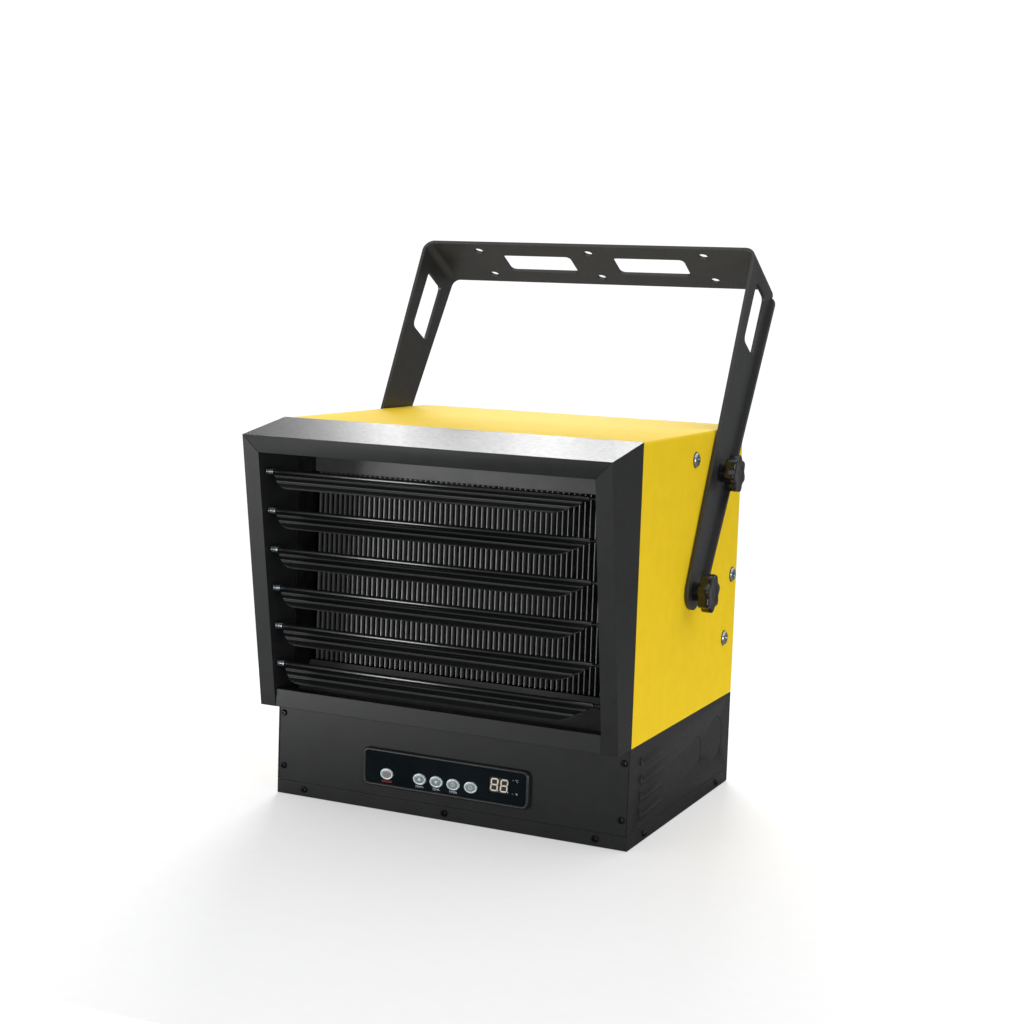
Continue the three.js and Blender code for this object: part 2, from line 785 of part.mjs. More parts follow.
/** Terminal block for the supply wires, slotted into three ways. */
function terminalBlock() {
  const low = sheet + pieceGap;
  const top = low + blockHeight;
  const halfWidth = blockWidth / 2;
  const halfLength = blockLength / 2;
  const body = block(
    blockX - halfWidth, blockX + halfWidth, blockY - halfLength, blockY + halfLength, low, top,
  );
  const ways = [-1, 0, 1].map((way) => {
    const y = blockY + (way * blockLength) / 3;
    const slotFront = y - blockSlot / 2;
    const floor = low + blockHeight / 2;
    return block(blockX, blockX + blockWidth, slotFront, slotFront + blockSlot, floor, top + cutMargin);
  });
  return cut(body, ...ways);
}

/** Contactor that switches the heating tubes. */
function contactor() {
  const low = sheet + pieceGap;
  const x = contactorWidth / 2;
  const y = contactorDepth / 2;
  return block(
    contactorX - x, contactorX + x, contactorY - y, contactorY + y, low, low + contactorHeight,
  );
}

// ---------------------------------------------------------------- controls

const rimBack = frontY - pieceGap;
const rimInnerWidth = controlWidth - 2 * rimWidth;
const rimInnerHeight = controlHeight - 2 * rimWidth;
const rimInnerCorner = controlCorner - rimWidth;
const tubWidth = rimInnerWidth + 2 * tubOverlap;
const tubHeight = rimInnerHeight + 2 * tubOverlap;
const tubCorner = rimInnerCorner + tubOverlap;
const tubInnerWidth = tubWidth - 2 * tubWall;
const tubInnerHeight = tubHeight - 2 * tubWall;
const overlayBack = rimBack - pieceGap;
const overlayFront = overlayBack - overlayThickness;
const displayFront = overlayBack + pieceGap;
const boardFront = displayFront + displayDepth + pieceGap;

/** Raised rim on the front panel, with the tub behind it that holds the board. */
function controlFrame() {
  const rim = roundedRect(controlWidth, controlHeight, controlCorner, 0, controlZ);
  rim.holes.push(roundedRect(rimInnerWidth, rimInnerHeight, rimInnerCorner, 0, controlZ));
  const tub = roundedRect(tubWidth, tubHeight, tubCorner, 0, controlZ);
  tub.holes.push(roundedRect(tubInnerWidth, tubInnerHeight, tubCorner - tubWall, 0, controlZ));
  return join(prismY(rim, rimBack - rimDepth, rimBack), prismY(tub, rimBack, rimBack + tubDepth));
}

/** Oval of a button, grown by a margin. */
function buttonOval(x, margin) {
  const height = buttonHeight + 2 * margin;
  return roundedRect(buttonWidth + 2 * margin, height, height / 2 - pieceGap, x, buttonZ);
}

/** Dark overlay with holes for the buttons, the display and two indicators. */
function controlOverlay() {
  const shape = roundedRect(
    rimInnerWidth - 2 * pieceGap, rimInnerHeight - 2 * pieceGap, rimInnerCorner - pieceGap, 0, controlZ,
  );
  Object.values(buttonPlaces).forEach((x) => shape.holes.push(buttonOval(x, pieceGap)));
  shape.holes.push(roundedRect(displayWidth, displayHeight, pieceGap, displayX, displayZ));
  indicatorZs.forEach((z) => {
    shape.holes.push(circle(indicatorRadius, indicatorX, z));
  });
  return prismY(shape, overlayFront, overlayBack, 1);
}

/** Oval button with a flange that holds it behind the overlay. */
function controlButton(x) {
  const flangeFront = overlayBack + pieceGap;
  return join(
    prismY(buttonOval(x, 0), overlayFront - buttonProud, flangeFront, 1),
    prismY(buttonOval(x, buttonFlange), flangeFront, flangeFront + buttonFlange, 1),
  );
}

/** Two-digit display behind its window. */
function displayModule() {
  const shape = roundedRect(
    displayWidth + 2 * displayBorder, displayHeight + 2 * displayBorder, pieceGap, displayX, displayZ,
  );
  return prismY(shape, displayFront, displayFront + displayDepth, 1);
}

/** Circuit board across the tub. */
function controlBoard() {
  const shape = roundedRect(
    tubInnerWidth - 2 * pieceGap, tubInnerHeight - 2 * pieceGap, tubCorner - tubWall, 0, controlZ,
  );
  return prismY(shape, boardFront, boardFront + boardThickness, 1);
}

// ---------------------------------------------------------------- bracket, knobs and screws

/** Bracket in its own frame: the pivot at the origin and the arms up Z. */
function mountingBracket() {
  const reach = bracketTopHalfWidth + cutMargin;
  const past = bracketOuter + cutMargin;
  const innerBend = bracketBend - bracketThickness;
  const low = -bracketEndHalfWidth - cutMargin;
  const top = bracketReach - bracketBend;
  const wrap = new THREE.Shape();
  wrap.moveTo(-bracketOuter, low);
  wrap.lineTo(-bracketInner, low);
  wrap.absarc(-bracketInner + innerBend, top, innerBend, Math.PI, Math.PI / 2, true);
  wrap.absarc(bracketInner - innerBend, top, innerBend, Math.PI / 2, 0, true);
  wrap.lineTo(bracketInner, low);
  wrap.lineTo(bracketOuter, low);
  wrap.absarc(bracketOuter - bracketBend, top, bracketBend, 0, Math.PI / 2);
  wrap.absarc(-bracketOuter + bracketBend, top, bracketBend, Math.PI / 2, Math.PI);
  const flank = bracketTopHalfWidth;
  const silhouette = new THREE.Shape();
  silhouette.moveTo(flank, bracketReach + cutMargin);
  silhouette.lineTo(-flank, bracketReach + cutMargin);
  silhouette.lineTo(-flank, top);
  silhouette.absarc(0, 0, bracketEndHalfWidth, Math.PI, Math.PI * 2, false);
  silhouette.lineTo(flank, top);
  const body = common(prismY(wrap, -reach, reach), prismX(silhouette, -past, past, 6));

  const edgeAt = (z) => bracketEndHalfWidth + ((flank - bracketEndHalfWidth) * z) / top;
  const lipShape = outline([
    [edgeAt(lipLow), lipLow],
    [edgeAt(lipHigh), lipHigh],
    [edgeAt(lipHigh) - bracketThickness, lipHigh],
    [edgeAt(lipLow) - bracketThickness, lipLow],
  ]);
  const lips = bothSides((side) => {
    const near = side * (bracketOuter - bracketThickness / 2);
    const end = side * (bracketOuter + lipReach);
    return prismX(lipShape, Math.min(near, end), Math.max(near, end));
  });

  const deep = bracketReach - 2 * bracketThickness;
  const high = bracketReach + cutMargin;
  const plateHoles = [-1, 0, 1].flatMap((column) => [-1, 1].map((row) => rodZ(
    plateHoleRadius, deep, high, column * plateHoleSpacing, row * plateHoleRowOffset, 10,
  )));
  const slotWidth = plateSlotOuter - plateSlotInner;
  const slotMiddle = (plateSlotOuter + plateSlotInner) / 2;
  const plateSlots = bothSides((side) => prismZ(
    roundedRect(slotWidth, 2 * plateSlotHalfWidth, slotCorner, side * slotMiddle, 0), deep, high, 1,
  ));
  const armSlotShape = roundedRect(
    2 * armSlotHalfWidth, armSlotHigh - armSlotLow, slotCorner, 0, (armSlotHigh + armSlotLow) / 2,
  );
  const studHole = studRadius + pieceGap;
  return cut(
    join(body, ...lips),
    ...plateHoles,
    ...plateSlots,
    prismX(armSlotShape, -past, past, 1),
    rodX(studHole, -past, past, 0, 0, studSides),
    rodX(studHole, -past, past, 0, lockRadius, studSides),
  );
}

/** Star knob with its stud, drawn outwards along X from the cabinet's middle plane. */
function starKnob() {
  const shape = new THREE.Shape();
  const steps = knobLobes * 6;
  for (let step = 0; step < steps; step += 1) {
    const angle = (step / steps) * Math.PI * 2;
    const radius = knobRadius - (knobDip / 2) * (1 - Math.cos(knobLobes * angle));
    shape[step ? 'lineTo' : 'moveTo'](radius * Math.cos(angle), radius * Math.sin(angle));
  }
  const seat = bracketOuter + pieceGap;
  const head = seat + knobHubLength;
  return join(
    prismX(shape, head, head + knobThickness),
    rodX(knobHubRadius, seat, head + sheet, 0, 0, 14),
    rodX(studRadius, studEnd, seat + sheet, 0, 0, studSides),
  );
}

/** Hexagon nut behind the cabinet side, bored for a stud. */
function studNut() {
  const outerEnd = innerX - pieceGap;
  const innerEnd = outerEnd - nutThickness;
  const nut = rodX(nutAcrossFlats / Math.sqrt(3), innerEnd, outerEnd, 0, 0, 6);
  const bore = rodX(studRadius + pieceGap, innerEnd - cutMargin, outerEnd + cutMargin, 0, 0, studSides);
  return cut(nut, bore);
}

/** Zinc cross-head screw in a spare lock place of the cabinet side. */
function sideScrew() {
  const seat = sideX + pieceGap;
  const crown = seat + sideScrewHeight;
  const head = new THREE.LatheGeometry([
    new THREE.Vector2(0, 0),
    new THREE.Vector2(sideScrewRadius, 0),
    new THREE.Vector2(sideScrewRadius * 0.93, sideScrewHeight * 0.4),
    new THREE.Vector2(sideScrewRadius * 0.62, sideScrewHeight * 0.85),
    new THREE.Vector2(0, sideScrewHeight),
  ], 12).rotateZ(-Math.PI / 2).translate(seat, 0, 0);
  const shank = rodX(sideScrewShank, seat - sideScrewLength, seat + sheet, 0, 0);
  const arm = sideScrewRadius * 0.5;
  const thin = sideScrewRadius * 0.12;
  return cut(
    join(head, shank),
    block(crown - sideScrewRecess, crown + cutMargin, -arm, arm, -thin, thin),
    block(crown - sideScrewRecess, crown + cutMargin, -thin, thin, -arm, arm),
  );
}

// ---------------------------------------------------------------- louvers

/** Louver blade in its own frame: pins along X, and the blade reaching to -Y. */
function louverBlade() {
  const end = Array.from({ length: louverTipSteps + 1 }, (_, step) => {
    const share = step / louverTipSteps;
    const depth = louverReach * Math.sin((Math.PI / 2) * share ** louverTipPower);
    return [louverHalf - louverTipTaper * share, -depth];
  });
  const blade = outline([...end, ...end.map(([u, v]) => [-u, v]).reverse()]);
  const ribs = louverRibPlaces.map((place) => {
    const share = (Math.asin(place / louverReach) / (Math.PI / 2)) ** (1 / louverTipPower);
    const half = louverHalf - louverTipTaper * share - louverRibRadius;
    return rodX(louverRibRadius, -half, half, -place, louverSheet / 2, 6);
  });
  const pinEnd = openHalf + sheet + pinPastWall;
  return join(
    prismZ(blade, -louverSheet / 2, louverSheet / 2),
    rodX(louverTubeRadius, -louverHalf, louverHalf, 0, 0, 10),
    rodX(pinRadius, -pinEnd, pinEnd, 0, 0),
    ...ribs,
  );
}

/** Centre line of the spring round a left pin: straight ends with curls between them. */
function springLine() {
  const wallEnd = -openHalf + pieceGap;
  const bladeEnd = -louverHalf - pieceGap;
  const first = wallEnd + springWire;
  const last = bladeEnd - springWire;
  const steps = Math.round(springCurls * springSteps);
  const points = [new THREE.Vector3(wallEnd, springRadius, 0)];
  for (let step = 0; step <= steps; step += 1) {
    const angle = (step / springSteps) * Math.PI * 2;
    const x = first + ((last - first) * step) / steps;
    points.push(new THREE.Vector3(x, springRadius * Math.cos(angle), springRadius * Math.sin(angle)));
  }
  const end = points[points.length - 1];
  points.push(new THREE.Vector3(bladeEnd, end.y, end.z));
  return points;
}

/** Least distance between turns of the spring's wire, measured on points along its line. */
function springSelfGap(points) {
  const shares = [0, 0.25, 0.5, 0.75];
  const fine = points.slice(1).flatMap((point, k) => shares.map((t) => points[k].clone().lerp(point, t)));
  const halfTurn = (springSteps * shares.length) / 2;
  let least = Infinity;
  for (let a = 0; a < fine.length; a += 1) {
    for (let b = a + halfTurn; b < fine.length; b += 1) {
      least = Math.min(least, fine[a].distanceTo(fine[b]) - springWire);
    }
  }
  return least;
}

/** One unbroken wire swept along a line of points. */
function wire(points, radius, sides) {
  const axis = new THREE.Vector3(1, 0, 0);
  const corners = [];
  points.forEach((point, k) => {
    const before = points[Math.max(k - 1, 0)];
    const after = points[Math.min(k + 1, points.length - 1)];
    const along = after.clone().sub(before).normalize();
    const outward = new THREE.Vector3(0, point.y, point.z).normalize();
    const level = outward.clone().addScaledVector(along, -outward.dot(along)).normalize();
    const across = new THREE.Vector3().crossVectors(along, level);
    for (let side = 0; side < sides; side += 1) {
      const angle = (side / sides) * Math.PI * 2;
      const corner = point.clone().addScaledVector(level, radius * Math.cos(angle));
      corners.push(corner.addScaledVector(across, radius * Math.sin(angle)));
    }
  });
  const faces = [];
  for (let ring = 0; ring < points.length - 1; ring += 1) {
    for (let side = 0; side < sides; side += 1) {
      const a = ring * sides + side;
      const b = ring * sides + ((side + 1) % sides);
      faces.push(a, b, b + sides, a, b + sides, a + sides);
    }
  }
  const last = (points.length - 1) * sides;
  for (let side = 1; side < sides - 1; side += 1) {
    faces.push(0, side + 1, side);
    faces.push(last, last + side, last + side + 1);
  }
  const geometry = new THREE.BufferGeometry();
  geometry.setAttribute('position', new THREE.Float32BufferAttribute(corners.flatMap((c) => c.toArray()), 3));
  geometry.setIndex(faces);
  return geometry;
}

// ---------------------------------------------------------------- assembly

add('cabinet_wrap', cabinetWrap(), yellowPaint);
add('rear_panel', rearPanel(), blackPaint);
add('fan_guard', fanGuard(), blackPaint);
add('mid_deck', midDeck(), greySteel);
add('front_hood', frontHood(), blackPaint);
add('lower_sill', lowerSill(), blackPaint);

add('air_duct', airDuct(), darkSteel);
add('top_baffle', topBaffle(), greySteel);
add('lower_baffle', lowerBaffle(), greySteel);
add('fin_block', finBlock(), greySteel);
for (let band = 0; band < bandCount; band += 1) {
  add(`heating_tube_${band + 1}`, heatingTube(band), darkSteel);
}
add('thermal_cutout', thermalCutout(), silverPlastic);

add('fan_shroud', fanShroud(), darkSteel);
add('fan_blade', fanBlade(), greySteel);
add('motor_shaft', rodY(shaftRadius, fanY - fanHubLength / 2, motorFrontY + shaftInMotor, 0, fanZ), zinc);
add('motor', motorCan(), darkSteel);
add('motor_mount', motorMount(), greySteel);

add('box_wrap', boxWrap(), blackPaint);
add('box_front_panel', boxFrontPanel(), blackPaint);
add('box_tray', boxTray(), blackPaint);
add('terminal_block', terminalBlock(), blackPlastic);
add('contactor', contactor(), blackPlastic);

add('control_frame', controlFrame(), blackPlastic);
add('control_overlay', controlOverlay(), glossBlack);
add('control_board', controlBoard(), boardGreen);
add('display_module', displayModule(), glossBlack);
Object.entries(buttonPlaces).forEach(([name, x]) => add(`${name}_button`, controlButton(x), silverPlastic));

const leaning = new THREE.Group();
leaning.position.set(0, 0, pivotZ);
leaning.rotation.x = -leanAngle;
heater.add(leaning);
add('mounting_bracket', mountingBracket(), blackPaint, leaning);
const knobFacing = { right: 0, left: Math.PI };
Object.entries(knobFacing).forEach(([name, turn]) => {
  [['lock', leaning, lockRadius], ['pivot', heater, pivotZ]].forEach(([place, parent, z]) => {
    const pieces = [
      add(`${place}_knob_${name}`, starKnob(), blackPlastic, parent),
      add(`${place}_nut_${name}`, studNut(), zinc, parent),
    ];
    pieces.forEach((piece) => {
      piece.position.set(0, 0, z);
      piece.rotation.z = turn;
    });
  });
  sideScrewAngles.forEach((degrees, k) => {
    const [y, z] = onLockCircle(degrees);
    const screw = add(`side_screw_${name}_${k + 1}`, sideScrew(), zinc);
    screw.position.set(0, y, z);
    screw.rotation.z = turn;
  });
});

const springPoints = springLine();
console.log(`least gap of a louver spring to itself: ${springSelfGap(springPoints).toFixed(2)} mm`);
for (let row = 0; row < louverCount; row += 1) {
  const swing = new THREE.Group();
  swing.position.set(0, louverAxisY(row), louverAxisZ(row));
  swing.rotation.x = THREE.MathUtils.degToRad(louverTilt);
  heater.add(swing);
  add(`louver_${row + 1}`, louverBlade(), blackPaint, swing);
  add(`louver_spring_${row + 1}`, wire(springPoints, springWire / 2, springSides), zinc, swing);
}

export default heater;
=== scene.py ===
"""Looks of a ceiling mounted fan heater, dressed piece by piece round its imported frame."""

import sys
import logging
import math
from dataclasses import dataclass
from enum import Enum
from typing import Callable, Sequence

import bmesh
import bpy
from bmesh.types import BMEdge, BMesh, BMFace, BMVert
from mathutils import Matrix, Vector


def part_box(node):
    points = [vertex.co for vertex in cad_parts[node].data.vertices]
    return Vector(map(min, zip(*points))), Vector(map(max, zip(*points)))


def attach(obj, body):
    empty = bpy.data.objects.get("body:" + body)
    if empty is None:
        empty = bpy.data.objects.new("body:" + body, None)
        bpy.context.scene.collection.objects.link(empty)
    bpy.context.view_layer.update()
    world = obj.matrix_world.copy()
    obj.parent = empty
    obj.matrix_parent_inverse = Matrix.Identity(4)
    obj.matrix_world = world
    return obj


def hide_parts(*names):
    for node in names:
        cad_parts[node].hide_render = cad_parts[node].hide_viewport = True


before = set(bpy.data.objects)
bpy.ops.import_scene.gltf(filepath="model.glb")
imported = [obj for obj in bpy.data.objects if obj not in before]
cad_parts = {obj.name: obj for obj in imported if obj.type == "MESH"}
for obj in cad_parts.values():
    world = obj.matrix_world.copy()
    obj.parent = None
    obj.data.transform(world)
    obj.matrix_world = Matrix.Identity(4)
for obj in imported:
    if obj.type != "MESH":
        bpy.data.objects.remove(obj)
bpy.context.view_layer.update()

MM = 0.001
LOG = logging.getLogger("fan_heater")

Colour = tuple[float, float, float]
Ring = list[Vector]


# ------------------------------------------------------------------ named options


class Side(Enum):
    """Left or right half of the heater, seen from the louvers."""

    LEFT = -1
    RIGHT = 1

    @property
    def word(self) -> str:
        """Name used in node and piece names."""
        return self.name.lower()


class Facing(Enum):
    """Way that a small piece faces: its outward direction and its upward one."""

    FRONT = ((0, -1, 0), (0, 0, 1))
    REAR = ((0, 1, 0), (0, 0, 1))
    LEFT = ((-1, 0, 0), (0, 0, 1))
    RIGHT = ((1, 0, 0), (0, 0, 1))

    def at(self, x: float, y: float, z: float) -> Matrix:
        """Place of a piece drawn with local Z outward.

        Args:
            x, y, z: point that the piece stands on, in mm.

        Returns:
            Matrix from the piece's own frame to the heater's.
        """
        outward, up = (Vector(axis) for axis in self.value)
        turn = Matrix((up.cross(outward), up, outward)).transposed().to_4x4()
        return Matrix.Translation((x, y, z)) @ turn


class Icon(Enum):
    """Printed mark on a push button."""

    POWER = "power"
    UP = "up"
    DOWN = "down"
    CLOCK = "timer"
    LOOP = "mode"


# ------------------------------------------------------------------ finishes


class Recipe:
    """Node tree of one finish, read in object coordinates."""

    def __init__(self, name: str) -> None:
        """Starts a material with one principled shader.

        Args:
            name: name of the material.
        """
        self.material = bpy.data.materials.new(name)
        self.material.use_nodes = True
        self.tree = self.material.node_tree
        self.shader = self.tree.nodes["Principled BSDF"]
        self.place = self.tree.nodes.new("ShaderNodeTexCoord").outputs["Object"]

    def constant(self, **sockets: float) -> None:
        """Sets plain numbers on the shader, one for each socket named with underscores."""
        for name, value in sockets.items():
            self.shader.inputs[name.replace("_", " ")].default_value = value

    def stretched(self, scale: tuple[float, float, float]) -> bpy.types.NodeSocket:
        """Coordinates stretched along the axes, for a drawn grain."""
        node = self.tree.nodes.new("ShaderNodeMapping")
        node.inputs["Scale"].default_value = scale
        self.tree.links.new(self.place, node.inputs["Vector"])
        return node.outputs["Vector"]

    def noise(self, scale: float, detail: float = 2.0,
              along: bpy.types.NodeSocket | None = None) -> bpy.types.NodeSocket:
        """Cloudy value from 0 to 1.

        Args:
            scale: features per metre.
            detail: octaves of finer noise.
            along: coordinates to read, or None for the plain ones.

        Returns:
            The noise's value.
        """
        node = self.tree.nodes.new("ShaderNodeTexNoise")
        node.inputs["Scale"].default_value = scale
        node.inputs["Detail"].default_value = detail
        self.tree.links.new(along or self.place, node.inputs["Vector"])
        return node.outputs["Fac"]

    def cells(self, scale: float) -> bpy.types.NodeSocket:
        """Grey value that steps from cell to cell, as on zinc spangle."""
        node = self.tree.nodes.new("ShaderNodeTexVoronoi")
        node.inputs["Scale"].default_value = scale
        self.tree.links.new(self.place, node.inputs["Vector"])
        return node.outputs["Color"]

    def tint(self, value: bpy.types.NodeSocket, low: Colour, high: Colour,
             start: float = 0.35, end: float = 0.65) -> None:
        """Base colour that runs between two tones.

        Args:
            value: what drives the tone.
            low, high: the two tones, linear.
            start, end: values at which each tone is reached.
        """
        ramp = self.tree.nodes.new("ShaderNodeValToRGB")
        for element, place, tone in zip(ramp.color_ramp.elements, (start, end), (low, high)):
            element.position = place
            element.color = (*tone, 1.0)
        self.tree.links.new(value, ramp.inputs["Fac"])
        self.tree.links.new(ramp.outputs["Color"], self.shader.inputs["Base Color"])

    def roughness(self, value: bpy.types.NodeSocket, low: float, high: float) -> None:
        """Roughness that runs from low to high with a noise."""
        node = self.tree.nodes.new("ShaderNodeMapRange")
        for name, number in (("From Min", 0.3), ("From Max", 0.7), ("To Min", low), ("To Max", high)):
            node.inputs[name].default_value = number
        self.tree.links.new(value, node.inputs["Value"])
        self.tree.links.new(node.outputs["Result"], self.shader.inputs["Roughness"])

    def relief(self, height: bpy.types.NodeSocket, depth: float) -> None:
        """Fine surface relief, depth in mm."""
        node = self.tree.nodes.new("ShaderNodeBump")
        node.inputs["Distance"].default_value = depth * MM
        self.tree.links.new(height, node.inputs["Height"])
        self.tree.links.new(node.outputs["Normal"], self.shader.inputs["Normal"])


def span(node: str, axis: int) -> tuple[float, float]:
    """Low and high end of a CAD node along an axis (0 to 2), in mm."""
    low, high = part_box(node)
    return low[axis] / MM, high[axis] / MM


def middle(node: str, axis: int) -> float:
    """Middle of a CAD node along an axis (0 to 2), in mm."""
    return sum(span(node, axis)) / 2


def shade(colour: Colour, factor: float) -> Colour:
    """Colour made lighter or darker by a factor."""
    return tuple(min(channel * factor, 1.0) for channel in colour)


@dataclass(frozen=True)
class PowderCoat:
    """Baked powder paint: cloudy tone, uneven sheen and fine grain."""

    name: str
    colour: Colour
    sheen: tuple[float, float] = (0.40, 0.52)
    grain: float = 900.0
    grain_depth: float = 0.05
    contrast: float = 0.05
    gleam: float = 0.3

    def material(self) -> bpy.types.Material:
        """Builds the finish."""
        recipe = Recipe(self.name)
        recipe.constant(Specular_IOR_Level=self.gleam)
        speck = recipe.noise(self.grain, 3.0)
        recipe.tint(recipe.noise(60.0, 8.0), shade(self.colour, 1 - self.contrast),
                    shade(self.colour, 1 + self.contrast))
        recipe.roughness(recipe.noise(self.grain / 4, 3.0), *self.sheen)
        recipe.relief(speck, self.grain_depth)
        return recipe.material


@dataclass(frozen=True)
class Spangle:
    """Galvanised sheet with zinc spangle."""

    name: str
    colour: Colour
    cells: float = 95.0

    def material(self) -> bpy.types.Material:
        """Builds the finish."""
        recipe = Recipe(self.name)
        recipe.constant(Metallic=1.0)
        recipe.tint(recipe.cells(self.cells), shade(self.colour, 0.8), shade(self.colour, 1.15), 0.1, 0.9)
        recipe.roughness(recipe.noise(180.0, 4.0), 0.34, 0.48)
        recipe.relief(recipe.noise(500.0), 0.015)
        return recipe.material


@dataclass(frozen=True)
class RolledMetal:
    """Bare or plated metal with a faint drawn grain and two tones."""

    name: str
    dark: Colour
    light: Colour
    rough: tuple[float, float]
    grain: tuple[float, float, float] = (1.0, 1.0, 0.12)
    blotch: float = 70.0

    def material(self) -> bpy.types.Material:
        """Builds the finish."""
        recipe = Recipe(self.name)
        recipe.constant(Metallic=1.0)
        drawn = recipe.noise(700.0, 3.0, recipe.stretched(self.grain))
        recipe.tint(recipe.noise(self.blotch, 5.0), self.dark, self.light)
        recipe.roughness(drawn, *self.rough)
        recipe.relief(drawn, 0.012)
        return recipe.material


@dataclass(frozen=True)
class MouldedPlastic:
    """Moulded plastic with a spark-eroded grain."""

    name: str
    colour: Colour
    rough: tuple[float, float] = (0.30, 0.42)
    grain: float = 1400.0
    depth: float = 0.02

    def material(self) -> bpy.types.Material:
        """Builds the finish."""
        recipe = Recipe(self.name)
        recipe.tint(recipe.noise(45.0, 6.0), shade(self.colour, 0.85), shade(self.colour, 1.2))
        recipe.roughness(recipe.noise(220.0, 4.0), *self.rough)
        recipe.relief(recipe.noise(self.grain, 2.0), self.depth)
        return recipe.material


@dataclass(frozen=True)
class GlossFilm:
    """Smooth printed film with faint handling marks."""

    name: str
    colour: Colour
    rough: tuple[float, float] = (0.10, 0.20)
    gleam: float = 0.04

    def material(self) -> bpy.types.Material:
        """Builds the finish."""
        recipe = Recipe(self.name)
        recipe.constant(Specular_IOR_Level=self.gleam)
        recipe.tint(recipe.noise(25.0, 4.0), shade(self.colour, 0.8), shade(self.colour, 1.25))
        recipe.roughness(recipe.noise(60.0, 6.0), *self.rough)
        recipe.relief(recipe.noise(90.0, 2.0), 0.01)
        return recipe.material


@dataclass(frozen=True)
class SilverLacquer:
    """Pale silver lacquer with fine flake."""

    name: str
    colour: Colour

    def material(self) -> bpy.types.Material:
        """Builds the finish."""
        recipe = Recipe(self.name)
        recipe.constant(Metallic=0.25, Coat_Weight=0.3, Coat_Roughness=0.12)
        recipe.tint(recipe.noise(2600.0, 2.0), shade(self.colour, 0.86), shade(self.colour, 1.12))
        recipe.roughness(recipe.noise(300.0, 3.0), 0.28, 0.38)
        recipe.relief(recipe.noise(1500.0), 0.006)
        return recipe.material


@dataclass(frozen=True)
class PrintInk:
    """Screen-printed ink, a little uneven, with an optional faint glow that is painted light."""

    name: str
    colour: Colour
    glow: float = 0.0

    def material(self) -> bpy.types.Material:
        """Builds the finish."""
        recipe = Recipe(self.name)
        recipe.tint(recipe.noise(900.0, 3.0), shade(self.colour, 0.88), shade(self.colour, 1.08))
        recipe.roughness(recipe.noise(400.0, 2.0), 0.42, 0.58)
        recipe.constant(Emission_Strength=self.glow)
        recipe.shader.inputs["Emission Color"].default_value = (*self.colour, 1.0)
        return recipe.material


